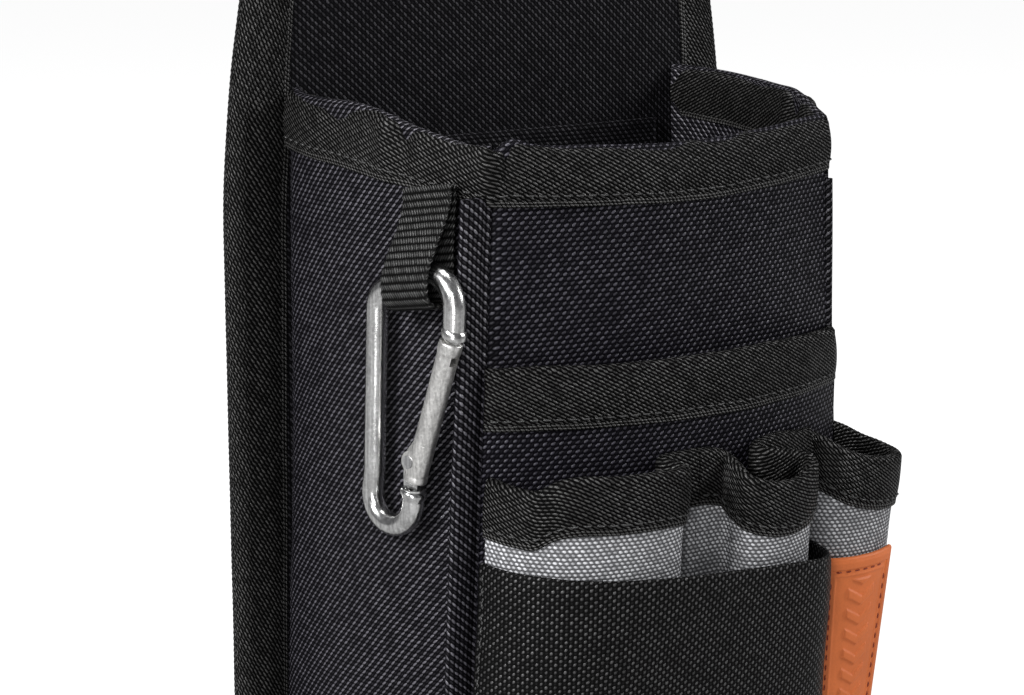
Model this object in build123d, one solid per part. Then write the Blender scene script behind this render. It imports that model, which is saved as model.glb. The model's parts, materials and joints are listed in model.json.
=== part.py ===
"""Electrician tool pouch: tall padded back panel, bulging main pocket, second front pocket,
three pleated tool loops behind a webbing band, and a carabiner on a webbing tab.

Frame: millimetres, +Z up, +X to the right seen from the front, +Y towards the back.
The origin is the centre of the flat base.
"""
from build123d import *
import os
from math import cos, hypot, radians, sin, sqrt, tan

os.makedirs("parts", exist_ok=True)

# ---------------------------------------------------------------- driving dimensions (mm)
FRONT_Y = -33.65            # plane through the two front corners
BACK_Y = 33.65              # inner face of the back panel
RIM_Z = 172.0               # top of the fabric at the front corners
RIM_SLOPE = 0.119           # rise of the rim per mm towards the back
CORNER_HALF_AT_RIM = 49.7   # half width between the front corners at the rim
CORNER_SPREAD = 0.042       # growth of that half width per mm downwards
ROOT_HALF_AT_RIM = 60.2     # half width where the gussets meet the back panel
ROOT_SPREAD = 0.0225
FRONT_BULGE = 7.5
GUSSET_BULGE = 5.5
WALL = 2.8                  # lined and padded oxford
WALL_SPAN = (-10.0, 200.0)  # heights between which the walls are drawn before trimming
CLOTH = 1.2                 # single folded cloth or webbing
TAPE = 0.9                  # one leaf of binding tape
TAPE_HEIGHT = 12.5          # visible height of 25 mm tape folded in half

# Back panel sandwich, from the inside out.
INNER_CLOTH = 1.0
FOAM = 2.5
STIFFENER = 1.5
OUTER_CLOTH = 1.0
PANEL_THICKNESS = INNER_CLOTH + FOAM + STIFFENER + OUTER_CLOTH
PANEL_HEIGHT = 282.0
PANEL_HALF = 75.3
PANEL_TOP_HALF = 55.8
TAPER_START_Z = 142.0
TAPER_RADIUS = 300.0
TAPER_ANGLE = 9.6           # degrees from vertical of the upper sides
PANEL_TOP_CORNER = 30.0
PANEL_FOOT_CORNER = 14.0
FLANGE = 11.0               # visible width of the back binding on each face
SLIP_POCKET = (50.0, 17.0, 166.0)   # half width, bottom, top

# Base.
BASE_THICKNESS = 3.0
RAMP_START_Y = 17.0         # the base rises from here to the back panel
RAMP_RISE = 13.5

# Corner welts: how far each stands out sideways.
WELT_LEFT = 5.5
WELT_RIGHT = 3.0
WELT_TOP_Z = 158.5

# Second pocket.
POCKET_TOP_Z = 123.0
POCKET_WALL = 1.2
POCKET_FOOT_Z = 20.0        # below this the pocket closes in to its bottom seam
POCKET_BULGES = ((2.0, 9.2), (POCKET_FOOT_Z, 13.4), (POCKET_TOP_Z, 14.6))   # height, outer bulge

# Tool loops: height range, and the rear edge from which each top slopes down to the front.
LOOP_BOTTOM_Z = 6.0
LOOP_TOP_Z = 100.5
LOOP_REAR_Y = -45.0
LOOP_TAPE_HEIGHT = 13.0

# Webbing band.
BAND_WIDTH = 50.0
BAND_TOP_Z = 75.7
BAND_TILT = -0.098          # rise of the band's edges per mm towards the right
BAND_THICKNESS = 1.5

# Label.
LABEL_THICKNESS = 2.0
LABEL_TOP_Z = 67.0
LABEL_BOTTOM_Z = 14.0

# Belt tunnel.
TUNNEL_HALF_WIDTH = 44.0
TUNNEL_BOTTOM_Z = 180.0
TUNNEL_TOP_Z = 254.0
TUNNEL_GAP = 5.5
TUNNEL_SEAM = 8.0

# Carabiner: 5 mm wire, laid out in its own hanging plane (x towards the front, y up).
WIRE_RADIUS = 2.5
HANG_OFFSET = 9.0           # distance of the wire's axis from the gusset's chord
HANG_LEAN = 0.035           # outward lean of the hanging plane per mm downwards
NOSE_END = (-0.6, -40.3)
NOSE_CORNER = (-0.4, -23.3)
SPINE_TOP = (-25.4, -33.4)
SPINE_FOOT = (-25.4, -74.0)
EYE_LEFT_X = -26.0
EYE_RIGHT_X = -12.6
EYE_BOTTOM_Y = -85.4
SHOULDER = (-12.5, -76.0)
NOSE_RADIUS = 7.5
SPINE_CORNER_RADIUS = 5.0
EYE_RADIUS = 6.6
GATE_FOOT = (-12.0, -73.9)
GATE_TIP = (-1.3, -41.0)
GATE_BORE_RADIUS = 1.75
RIVET_RADIUS = 1.15
RIVET_HEAD = 0.4            # thickness of each domed head
RIVET_INSET = 1.2           # rivet axis, from the gate's axis towards the inside of the carabiner
RIVET_HEIGHT = 4.4          # rivet axis, above the gate's foot
EAR_RADIUS = 2.4
TONGUE = 2.0                # thickness of the flattened body ends
RUNNING_GAP = 0.1

# Carabiner tab: 15 mm webbing, sewn under the rim and folded round the wire.
TAB_WIDTH = 15.0
TAB_SEAM = (-15.3, -13.2)   # middle of its seam, in the carabiner's plane
TAB_LEAN_DEG = 9.6
TAB_LENGTH = 21.8
TAB_CLOTH = 1.1


# ---------------------------------------------------------------- small helpers
def corner_half(z):
    return CORNER_HALF_AT_RIM + CORNER_SPREAD * (RIM_Z - z)


def root_half(z):
    return ROOT_HALF_AT_RIM + ROOT_SPREAD * (RIM_Z - z)


def arc_strip(outer, inner):
    """Face between two three-point arcs, joined by straight ends."""
    edges = [
        ThreePointArc(*outer),
        Line(outer[2], inner[2]),
        ThreePointArc(*reversed(inner)),
        Line(inner[0], outer[0]),
    ]
    return make_face(edges)


def loft_between(section, *heights):
    """Ruled loft of section(z) through the given heights."""
    return loft([section(z) for z in heights], ruled=True)


def side_slab(points, half_width=90.0):
    """Prism along X from an outline in the Y-Z plane."""
    face = make_face(Polyline(*[(0, y, z) for y, z in points], close=True))
    return extrude(face, amount=half_width, dir=(1, 0, 0), both=True)


def front_slab(points, y_near, y_far):
    """Prism along Y from an outline in the X-Z plane."""
    face = make_face(Polyline(*[(x, y_near, z) for x, z in points], close=True))
    return extrude(face, amount=y_far - y_near, dir=(0, 1, 0))


def under_rim(shift):
    """Everything below the sloping rim plane, moved up by shift."""
    near = RIM_Z + RIM_SLOPE * (-80 - FRONT_Y) + shift
    far = RIM_Z + RIM_SLOPE * (60 - FRONT_Y) + shift
    return side_slab([(-80, -20), (60, -20), (60, far), (-80, near)])


def base_profile(lift):
    """Points of the base's underside, raised by lift, from front to back."""
    return [(-80, lift), (RAMP_START_Y, lift), (BACK_Y, RAMP_RISE + lift)]


def ribbon(path, thickness, z):
    """Face of the given thickness centred on a polyline in plan."""
    near, far = [], []
    for i, (x, y) in enumerate(path):
        before = path[max(i - 1, 0)]
        after = path[min(i + 1, len(path) - 1)]
        dx1, dy1 = x - before[0], y - before[1]
        dx2, dy2 = after[0] - x, after[1] - y
        len1 = hypot(dx1, dy1) or 1.0
        len2 = hypot(dx2, dy2) or 1.0
        nx = -(dy1 / len1 + dy2 / len2)
        ny = dx1 / len1 + dx2 / len2
        length = hypot(nx, ny)
        between = 0 < i < len(path) - 1
        scale = thickness / 2 * (2 / length ** 2 if between else 1 / length)
        near.append((x + nx * scale, y + ny * scale, z))
        far.append((x - nx * scale, y - ny * scale, z))
    return make_face(Polyline(*near, *reversed(far), close=True))


def write(name, shape):
    solids = shape.solids()
    print(f"{name:24s} solids {len(solids)} volume {sum(s.volume for s in solids):10.1f}")
    body = solids[0] if len(solids) == 1 else Compound(children=list(solids))
    body.label = name
    export_step(body, f"parts/{name}.step")


# ---------------------------------------------------------------- back panel
def panel_outline(inset):
    """Half-symmetric outline of the back panel in local x, y (y is height)."""
    angle = radians(TAPER_ANGLE)
    shift_in = TAPER_RADIUS * (1 - cos(angle))
    taper_end = (PANEL_HALF - shift_in, TAPER_START_Z + TAPER_RADIUS * sin(angle))
    middle = (PANEL_HALF - TAPER_RADIUS * (1 - cos(angle / 2)),
              TAPER_START_Z + TAPER_RADIUS * sin(angle / 2))
    top_x = taper_end[0] - (PANEL_HEIGHT - taper_end[1]) * tan(angle)
    right = [
        Line((0, 0), (PANEL_HALF, 0)),
        Line((PANEL_HALF, 0), (PANEL_HALF, TAPER_START_Z)),
        ThreePointArc((PANEL_HALF, TAPER_START_Z), middle, taper_end),
        Line(taper_end, (top_x, PANEL_HEIGHT)),
        Line((top_x, PANEL_HEIGHT), (0, PANEL_HEIGHT)),
    ]
    left = [mirror(edge, about=Plane.YZ) for edge in right]
    face = make_face(right + left)
    top = face.vertices().filter_by(lambda v: v.Y > PANEL_HEIGHT - 1 and abs(v.X) > 1)
    face = fillet(top, PANEL_TOP_CORNER)
    foot = face.vertices().filter_by(lambda v: v.Y < 1 and abs(v.X) > PANEL_HALF - 1)
    face = fillet(foot, PANEL_FOOT_CORNER)
    return offset(face, -inset) if inset else face


def panel_layer(inset, y_near, y_far):
    outline = Pos(0, y_far, 0) * (Plane.XZ * panel_outline(inset))
    return extrude(outline, amount=y_far - y_near, dir=(0, -1, 0))


def build_back_panel():
    y_foam = BACK_Y + INNER_CLOTH
    y_board = y_foam + FOAM
    y_outer = y_board + STIFFENER
    y_back = y_outer + OUTER_CLOTH
    write("back_panel_inner", panel_layer(1.0, BACK_Y, y_foam))
    write("back_foam_pad", panel_layer(1.0, y_foam, y_board))
    write("back_stiffener", panel_layer(1.0, y_board, y_outer))
    write("back_panel_outer", panel_layer(1.0, y_outer, y_back))
    tape = panel_layer(0, BACK_Y - TAPE, y_back + TAPE)
    tape -= panel_layer(1.0, BACK_Y, y_back)
    tape -= panel_layer(FLANGE, BACK_Y - 5, y_back + 5)
    write("back_binding", tape)
    half, low, high = SLIP_POCKET
    slip = front_slab([(-half, low), (half, low), (half, high), (-half, high)],
                      BACK_Y - INNER_CLOTH, BACK_Y)
    write("inner_slip_pocket", slip)


# ---------------------------------------------------------------- main pocket walls
def pocket_outline(z, grow):
    """Plan of the main pocket's outer face, grown outwards by grow (or inwards)."""
    w = corner_half(z) + grow
    root = root_half(z) + grow
    y_front = FRONT_Y - grow
    y_mid = (FRONT_Y + WALL + BACK_Y) / 2
    x_mid = (w + root) / 2 + GUSSET_BULGE
    edges = [
        ThreePointArc((-w, y_front, z), (0, y_front - FRONT_BULGE, z), (w, y_front, z)),
        ThreePointArc((w, y_front, z), (x_mid, y_mid, z), (root, BACK_Y, z)),
        Line((root, BACK_Y, z), (-root, BACK_Y, z)),
        ThreePointArc((-root, BACK_Y, z), (-x_mid, y_mid, z), (-w, y_front, z)),
    ]
    return make_face(edges)


def wall_ring(grow):
    """The pocket's walls, from the back panel round to the back panel, grown on both faces."""
    outer = loft_between(lambda z: pocket_outline(z, grow), *WALL_SPAN)
    return outer - loft_between(lambda z: pocket_outline(z, -WALL - grow), *WALL_SPAN)


def welt(side, reach):
    """Pinched corner seam: a fin in the plane of the front panel."""
    def section(z):
        w = corner_half(z)
        return make_face(Polyline((side * w, FRONT_Y, z), (side * (w + reach), FRONT_Y, z),
                                  (side * (w + reach), FRONT_Y + WALL, z),
                                  (side * w, FRONT_Y + WALL, z), close=True))
    return loft_between(section, BASE_THICKNESS, WELT_TOP_Z)


def build_main_pocket():
    """One ring of wall, cut at the plane of the two corner seams into front and gussets."""
    base_top = side_slab(base_profile(BASE_THICKNESS) + [(BACK_Y, 300), (-80, 300)])
    walls = wall_ring(0) & base_top & under_rim(0)
    seam_y = FRONT_Y + WALL
    in_front = Box(200, 100, 500, align=(Align.CENTER, Align.MAX, Align.CENTER))
    on_left = Box(100, 100, 500, align=(Align.MAX, Align.MIN, Align.CENTER))
    on_right = Box(100, 100, 500, align=(Align.MIN, Align.MIN, Align.CENTER))
    write("front_panel", walls & (Pos(0, seam_y, 0) * in_front))
    write("gusset_left", walls & (Pos(0, seam_y, 0) * on_left))
    write("gusset_right", walls & (Pos(0, seam_y, 0) * on_right))
    base_sheet = side_slab(base_profile(0) + list(reversed(base_profile(BASE_THICKNESS))))
    write("bottom_panel", base_sheet & loft_between(lambda z: pocket_outline(z, 0), *WALL_SPAN))
    write("corner_welt_left", welt(-1, WELT_LEFT) - walls)
    write("corner_welt_right", welt(1, WELT_RIGHT) - walls)
    tape = wall_ring(TAPE) & (under_rim(TAPE) - under_rim(-TAPE_HEIGHT + TAPE))
    write("rim_binding", tape - walls)


# ---------------------------------------------------------------- second pocket
def pocket_bulge(z):
    """Bulge of the second pocket's outer face at height z."""
    for (z0, b0), (z1, b1) in zip(POCKET_BULGES, POCKET_BULGES[1:]):
        if z <= z1:
            return b0 + (b1 - b0) * (z - z0) / (z1 - z0)
    return POCKET_BULGES[-1][1]


def pocket_y(x, z):
    """Outer face of the second pocket."""
    edge = POCKET_WALL + RUNNING_GAP
    half = corner_half(z)
    rise = pocket_bulge(z) - edge
    radius = (half ** 2 + rise ** 2) / (2 * rise)
    return FRONT_Y - edge - (sqrt(radius ** 2 - min(abs(x), half) ** 2) - (radius - rise))


def second_pocket_section(z, grow_out=0.0, grow_in=0.0):
    w = corner_half(z)
    y_in = FRONT_Y - RUNNING_GAP
    bulge = pocket_bulge(z)
    outer = [(-w, y_in - POCKET_WALL - grow_out, z), (0, FRONT_Y - bulge - grow_out, z),
             (w, y_in - POCKET_WALL - grow_out, z)]
    inner = [(-w, y_in, z), (0, FRONT_Y - bulge + POCKET_WALL + grow_in, z), (w, y_in, z)]
    return arc_strip(outer, inner)


def build_second_pocket():
    heights = [z for z, _ in POCKET_BULGES]
    wall = loft_between(second_pocket_section, *heights)
    write("front_pocket", wall)
    low, high = POCKET_TOP_Z - TAPE_HEIGHT + TAPE, POCKET_TOP_Z + TAPE
    tape = loft_between(lambda z: second_pocket_section(z, TAPE, TAPE), low, high)
    write("front_pocket_binding", tape - wall)


# ---------------------------------------------------------------- tool loops and band
# Each path runs left to right in plan. A point is (x, stand-off from the second pocket),
# except round the right corner, where points are plain (x, y).
LOOP_PATHS = {
    "left": [(-51.6, 1.4), (-48.8, 8.5), (-43.0, 13.5), (-32.0, 14.8), (-18.5, 13.2),
             (-13.6, 9.5), (-13.0, 1.4)],
    "middle": [(4.2, 1.4), (3.6, 7.0), (6.5, 12.6), (15.0, 14.6), (23.5, 13.4),
               (27.0, 9.5), (26.4, 1.4)],
}
CORNER_LOOP_TOP = [(41.0, -42.4), (40.6, -46.0), (43.5, -49.6), (52.0, -50.8), (61.5, -48.2),
                   (66.6, -43.0), (66.0, -37.6), (62.0, -34.4), (57.4, -33.4)]
CORNER_LOOP_FOOT = [(41.6, -40.6), (41.4, -41.8), (44.0, -42.6), (52.0, -41.2), (60.5, -39.0),
                    (64.8, -36.4), (64.8, -34.8), (63.4, -33.4), (61.0, -32.8)]
BAND_PATH = [(-52.9, 2.8), (-51.8, 11.0), (-45.0, 17.3), (-32.0, 18.6), (-17.0, 17.4), (0.0, 16.6),
             (14.0, 18.0), (26.5, 17.8), (32.0, 14.4), (35.6, 9.0), (36.2, 4.4), (34.0, 1.6)]
LOOP_TOP_SLOPE = {"left": 0.0, "middle": 0.42, "right": 0.46}
FOOT_FLATTEN = 0.12
SEWN_STAND_OFF = 1.6        # a point this close to the pocket is sewn to it
FLAT_STAND_OFF = 2.8        # least stand-off of the front run where the loop is pressed flat
BAND_FOOT_FLATTEN = 0.55


def standing_path(path, z, flatten):
    """Plan points of a path whose stand-off shrinks to flatten at the loops' foot."""
    share = (z - LOOP_BOTTOM_Z) / (LOOP_TOP_Z - LOOP_BOTTOM_Z)
    factor = flatten + (1 - flatten) * share
    spread = corner_half(z) / corner_half(LOOP_TOP_Z)
    points = []
    for x, off in path:
        least = FLAT_STAND_OFF if off > SEWN_STAND_OFF else off
        depth = max(off * factor, least)
        points.append((x * spread, pocket_y(x * spread, z) - depth))
    return points


def corner_loop_path(z):
    share = (z - LOOP_BOTTOM_Z) / (LOOP_TOP_Z - LOOP_BOTTOM_Z)
    return [(x0 + (x1 - x0) * share, y0 + (y1 - y0) * share)
            for (x0, y0), (x1, y1) in zip(CORNER_LOOP_FOOT, CORNER_LOOP_TOP)]


def loop_path(name, z):
    if name == "right":
        return corner_loop_path(z)
    return standing_path(LOOP_PATHS[name], z, FOOT_FLATTEN)


def under_loop_top(name, shift):
    """Everything below a loop's top edge, which droops towards the front."""
    slope = LOOP_TOP_SLOPE[name]
    rear_y = LOOP_REAR_Y if name != "right" else -33.0
    rear_z = LOOP_TOP_Z if name != "right" else 97.5
    near = rear_z + slope * (-80 - rear_y) + shift
    far = rear_z + slope * max(0.0, -20 - rear_y) + shift
    return side_slab([(-80, -20), (-20, -20), (-20, far), (-80, near)])


def build_loops():
    for name in ("left", "middle", "right"):
        span = (LOOP_BOTTOM_Z, POCKET_FOOT_Z, LOOP_TOP_Z + 12)
        wall = loft_between(lambda z: ribbon(loop_path(name, z), CLOTH, z), *span)
        wall &= under_loop_top(name, 0)
        write(f"tool_loop_{name}", wall)
        tape = loft_between(lambda z: ribbon(loop_path(name, z), CLOTH + 2 * TAPE, z), *span)
        tape &= under_loop_top(name, TAPE) - under_loop_top(name, -LOOP_TAPE_HEIGHT + TAPE)
        write(f"loop_binding_{name}", tape - wall)


def build_band():
    def section(z):
        return ribbon(standing_path(BAND_PATH, z, BAND_FOOT_FLATTEN), BAND_THICKNESS, z)
    left, right = -60.0, 60.0
    edges = [(x, BAND_TOP_Z + BAND_TILT * x - drop)
             for x, drop in ((left, BAND_WIDTH), (right, BAND_WIDTH), (right, 0), (left, 0))]
    window = front_slab(edges, -90, -20)
    write("front_band", loft_between(section, POCKET_FOOT_Z, 90.0) & window)


def build_label():
    """Plate on the front run of the right-hand loop."""
    def section(z):
        run = corner_loop_path(z)[2:5]
        clear = CLOTH / 2 + LABEL_THICKNESS / 2 + 0.4
        shifted = [(x - 0.16 * clear * (i - 1), y - clear) for i, (x, y) in enumerate(run)]
        first, middle, last = shifted
        start = (first[0] + 0.18 * (middle[0] - first[0]), first[1] + 0.18 * (middle[1] - first[1]))
        return ribbon([start, middle, last], LABEL_THICKNESS, z)
    write("label_patch", loft_between(section, LABEL_BOTTOM_Z, LABEL_TOP_Z))


# ---------------------------------------------------------------- carabiner and tab
def hanging_plane():
    """Local x runs to the front along the left gusset, y up the wall, z outwards."""
    run = ROOT_HALF_AT_RIM - CORNER_HALF_AT_RIM
    depth = BACK_Y - FRONT_Y
    length = hypot(run, depth)
    to_front = Vector(run / length, -depth / length, 0)
    outward = Vector(-depth / length, -run / length, HANG_LEAN).normalized()
    corner = (-CORNER_HALF_AT_RIM, FRONT_Y, RIM_Z)
    return Plane(origin=corner, x_dir=to_front, z_dir=outward)


def rod(start, end, radius, level=HANG_OFFSET):
    """Cylinder between two points of the carabiner's own plane."""
    length = hypot(end[0] - start[0], end[1] - start[1])
    axis = Vector((end[0] - start[0]) / length, (end[1] - start[1]) / length, 0)
    base = Plane(origin=(start[0], start[1], level), x_dir=(0, 0, 1), z_dir=axis)
    return extrude(base * Circle(radius), amount=length)


def plate(points, thickness, level=HANG_OFFSET):
    """Flat plate in the carabiner's plane, centred on its level."""
    face = make_face(Polyline(*[(x, y, level - thickness / 2) for x, y in points], close=True))
    return extrude(face, amount=thickness, dir=(0, 0, 1))


def disc(centre, radius, thickness, level=HANG_OFFSET):
    base = Pos(centre[0], centre[1], level - thickness / 2)
    return extrude(base * Circle(radius), amount=thickness)


def along_gate(distance, side=0.0):
    """Point at a distance up the gate's axis, and side mm from it towards the inside."""
    length = hypot(GATE_TIP[0] - GATE_FOOT[0], GATE_TIP[1] - GATE_FOOT[1])
    ux, uy = (GATE_TIP[0] - GATE_FOOT[0]) / length, (GATE_TIP[1] - GATE_FOOT[1]) / length
    return (GATE_FOOT[0] + ux * distance - uy * side, GATE_FOOT[1] + uy * distance + ux * side)


def gate_box(low, high, side_low, side_high, thickness):
    """Plate aligned with the gate's axis."""
    corners = [along_gate(low, side_low), along_gate(high, side_low),
               along_gate(high, side_high), along_gate(low, side_high)]
    return plate(corners, thickness)


PLUNGER_SEAT = 6.4          # tongue end and plunger tip, above the gate's foot
TONGUE_CHAMFER = 0.25
PLUNGER_LENGTH = 5.0
PLUNGER_RADIUS = 1.6
SPRING_LENGTH = 11.0
BORE_END = PLUNGER_SEAT + PLUNGER_LENGTH + SPRING_LENGTH
SLOT = TONGUE + 2 * RUNNING_GAP
NOSE_SLOT_LENGTH = 5.0
FORK_DEPTH = 6.6


def build_carabiner(place):
    """The tube gate turns on a rivet through the body's lower tongue; a sprung plunger shuts it."""
    rivet = along_gate(RIVET_HEIGHT, RIVET_INSET)
    points = [NOSE_END, NOSE_CORNER, SPINE_TOP, SPINE_FOOT, (EYE_LEFT_X, -78.2),
              (EYE_LEFT_X, EYE_BOTTOM_Y), (EYE_RIGHT_X, EYE_BOTTOM_Y), SHOULDER]
    radii = [NOSE_RADIUS, SPINE_CORNER_RADIUS, 8.0, 5.0, EYE_RADIUS, EYE_RADIUS]
    path = FilletPolyline(*[(x, y, HANG_OFFSET) for x, y in points], radius=radii)
    start = Plane(origin=path @ 0, z_dir=path % 0)
    wire = sweep(start * Circle(WIRE_RADIUS), path=path)
    # Lower tongue: from the shoulder up to the rivet, with a flat end for the plunger.
    foot_x, foot_y = SHOULDER
    tongue = plate([(foot_x - 2.1, foot_y - 1.5), (foot_x + 2.1, foot_y - 1.5),
                    along_gate(0.6, -1.6), along_gate(PLUNGER_SEAT - TONGUE_CHAMFER, -1.4),
                    along_gate(PLUNGER_SEAT, TONGUE_CHAMFER - 1.4),
                    along_gate(PLUNGER_SEAT, RIVET_INSET + 0.7),
                    along_gate(RIVET_HEIGHT, RIVET_INSET + 2.0),
                    along_gate(0.6, RIVET_INSET + 2.0)], TONGUE)
    hole = disc(rivet, RIVET_RADIUS + RUNNING_GAP / 2, 10.0)
    # Upper tongue: enters the slot at the tip of the gate.
    nose = plate([(NOSE_END[0] - 1.5, NOSE_END[1] + 1.5), (NOSE_END[0] + 1.5, NOSE_END[1] + 1.5),
                  (NOSE_END[0] + 0.7, NOSE_END[1] - 3.6), (NOSE_END[0] - 2.6, NOSE_END[1] - 3.6)],
                 TONGUE)
    write("carabiner_body", place * ((wire + tongue + nose) - hole))

    tube = rod(GATE_FOOT, GATE_TIP, WIRE_RADIUS)
    ear = disc(rivet, EAR_RADIUS, 2 * WIRE_RADIUS - 0.4)
    fork = gate_box(-3, FORK_DEPTH, -6, 6, SLOT)
    length = hypot(GATE_TIP[0] - GATE_FOOT[0], GATE_TIP[1] - GATE_FOOT[1])
    slot = gate_box(length - NOSE_SLOT_LENGTH, length + 3, -6, 6, SLOT)
    bore = rod(along_gate(FORK_DEPTH - 2), along_gate(BORE_END), GATE_BORE_RADIUS)
    gate = tube + ear - fork - slot - bore - disc(rivet, RIVET_RADIUS, 10.0)
    write("carabiner_gate", place * gate)
    shank = disc(rivet, RIVET_RADIUS, 2 * WIRE_RADIUS)
    for side in (-1, 1):
        level = HANG_OFFSET + side * (WIRE_RADIUS + RIVET_HEAD / 2)
        shank += disc(rivet, RIVET_RADIUS + 0.35, RIVET_HEAD, level)
    write("carabiner_rivet", place * shank)
    plunger = rod(along_gate(PLUNGER_SEAT + RUNNING_GAP / 2),
                  along_gate(PLUNGER_SEAT + PLUNGER_LENGTH), PLUNGER_RADIUS)
    write("gate_plunger", place * plunger)
    spring = rod(along_gate(PLUNGER_SEAT + PLUNGER_LENGTH), along_gate(BORE_END), 1.5)
    spring -= rod(along_gate(PLUNGER_SEAT + PLUNGER_LENGTH), along_gate(BORE_END), 0.9)
    write("gate_spring", place * spring)
    for label, (x, y) in (("nose corner", NOSE_CORNER), ("spine top", SPINE_TOP), ("rivet", rivet),
                          ("gate foot", along_gate(0)), ("gate at 10 mm", along_gate(10))):
        print(label, (place * Pos(x, y, HANG_OFFSET)).position)


def build_tab(place):
    """Folded webbing: two layers at the seam, opening into a loop round the wire."""
    lean = Rot(0, 0, TAB_LEAN_DEG)
    frame = place * Pos(TAB_SEAM[0], TAB_SEAM[1], 0) * lean
    back = HANG_OFFSET - WIRE_RADIUS - 0.15      # inner face of the back layer
    front = HANG_OFFSET + WIRE_RADIUS + 3.0      # inner face of the front layer
    outer = [(back - TAB_CLOTH, 0), (back + TAB_CLOTH, 0), (front + TAB_CLOTH, -9.5),
             (front + TAB_CLOTH, -TAB_LENGTH + 2), (front - 1.5, -TAB_LENGTH),
             (back + 1.5, -TAB_LENGTH), (back - TAB_CLOTH, -TAB_LENGTH + 2)]
    inner = [(back, -3.0), (front, -10.4), (front, -TAB_LENGTH + 2.4),
             (front - 1.8, -TAB_LENGTH + TAB_CLOTH), (back + 1.8, -TAB_LENGTH + TAB_CLOTH),
             (back, -TAB_LENGTH + 2.4)]
    prisms = []
    for outline in (outer, inner):
        face = make_face(Polyline(*[(-TAB_WIDTH / 2, y, z) for z, y in outline], close=True))
        prisms.append(extrude(face, amount=TAB_WIDTH, dir=(1, 0, 0)))
    write("carabiner_tab", frame * (prisms[0] - prisms[1]))
    print("tab seam", (frame * Pos(0, 0, back)).position)


# ---------------------------------------------------------------- belt tunnel
def build_belt_tunnel():
    y_panel = BACK_Y + PANEL_THICKNESS
    shoulder = 14.0
    outer = [(y_panel, TUNNEL_BOTTOM_Z), (y_panel + 1.6, TUNNEL_BOTTOM_Z),
             (y_panel + 1.6, TUNNEL_BOTTOM_Z + TUNNEL_SEAM - 1),
             (y_panel + TUNNEL_GAP + 1.6, TUNNEL_BOTTOM_Z + shoulder),
             (y_panel + TUNNEL_GAP + 1.6, TUNNEL_TOP_Z - shoulder),
             (y_panel + 1.6, TUNNEL_TOP_Z - TUNNEL_SEAM + 1), (y_panel + 1.6, TUNNEL_TOP_Z),
             (y_panel, TUNNEL_TOP_Z)]
    inner = [(y_panel - 1, TUNNEL_BOTTOM_Z + TUNNEL_SEAM),
             (y_panel + 0.1, TUNNEL_BOTTOM_Z + TUNNEL_SEAM),
             (y_panel + TUNNEL_GAP, TUNNEL_BOTTOM_Z + shoulder + 0.6),
             (y_panel + TUNNEL_GAP, TUNNEL_TOP_Z - shoulder - 0.6),
             (y_panel + 0.1, TUNNEL_TOP_Z - TUNNEL_SEAM), (y_panel - 1, TUNNEL_TOP_Z - TUNNEL_SEAM)]
    strap = side_slab(outer, TUNNEL_HALF_WIDTH) - side_slab(inner, TUNNEL_HALF_WIDTH + 5)
    write("belt_tunnel", strap)
    tacks = []
    for side in (-1, 1):
        for z in (TUNNEL_BOTTOM_Z + 3.5, TUNNEL_TOP_Z - 3.5):
            spot = Pos(side * (TUNNEL_HALF_WIDTH - 9), y_panel + 1.6 + 0.3, z)
            tacks.append(spot * Box(12, 0.6, 2.4))
    write("belt_tunnel_bartacks", Compound(children=[t.solids()[0] for t in tacks]))


build_back_panel()
build_main_pocket()
build_second_pocket()
build_loops()
build_band()
build_label()
hang = hanging_plane()
print("outward", hang.z_dir, "to front", hang.x_dir, "up", hang.y_dir)
build_carabiner(Location(hang))
build_tab(Location(hang))
build_belt_tunnel()
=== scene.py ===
"""Looks of the electrician tool pouch: woven cloth, bound rims, pleated tool loops, label and
satin carabiner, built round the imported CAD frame. Lengths here are millimetres until a mesh is
made."""

import json
import math

import bpy
import numpy as np
from mathutils import Matrix, Vector


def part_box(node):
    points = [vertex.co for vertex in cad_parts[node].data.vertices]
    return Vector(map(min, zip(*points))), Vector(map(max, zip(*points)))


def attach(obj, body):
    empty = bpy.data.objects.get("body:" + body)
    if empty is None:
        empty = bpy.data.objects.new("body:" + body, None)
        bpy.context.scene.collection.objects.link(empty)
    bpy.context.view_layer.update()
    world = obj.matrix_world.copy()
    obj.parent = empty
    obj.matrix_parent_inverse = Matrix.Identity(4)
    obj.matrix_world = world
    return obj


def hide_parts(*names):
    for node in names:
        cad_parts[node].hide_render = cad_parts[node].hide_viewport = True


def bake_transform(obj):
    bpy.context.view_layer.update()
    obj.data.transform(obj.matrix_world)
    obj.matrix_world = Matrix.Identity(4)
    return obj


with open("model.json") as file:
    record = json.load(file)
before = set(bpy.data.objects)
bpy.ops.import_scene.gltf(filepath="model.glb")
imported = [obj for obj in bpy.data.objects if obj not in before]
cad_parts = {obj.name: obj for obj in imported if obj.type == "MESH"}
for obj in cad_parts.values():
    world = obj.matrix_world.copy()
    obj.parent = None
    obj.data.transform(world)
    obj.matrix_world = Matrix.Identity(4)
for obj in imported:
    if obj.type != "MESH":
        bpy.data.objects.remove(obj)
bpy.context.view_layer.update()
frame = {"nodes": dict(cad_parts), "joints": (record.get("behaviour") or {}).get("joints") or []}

MM = 0.001


def corners_mm(node):
    low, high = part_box(node)
    return np.array(low) / MM, np.array(high) / MM


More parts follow.
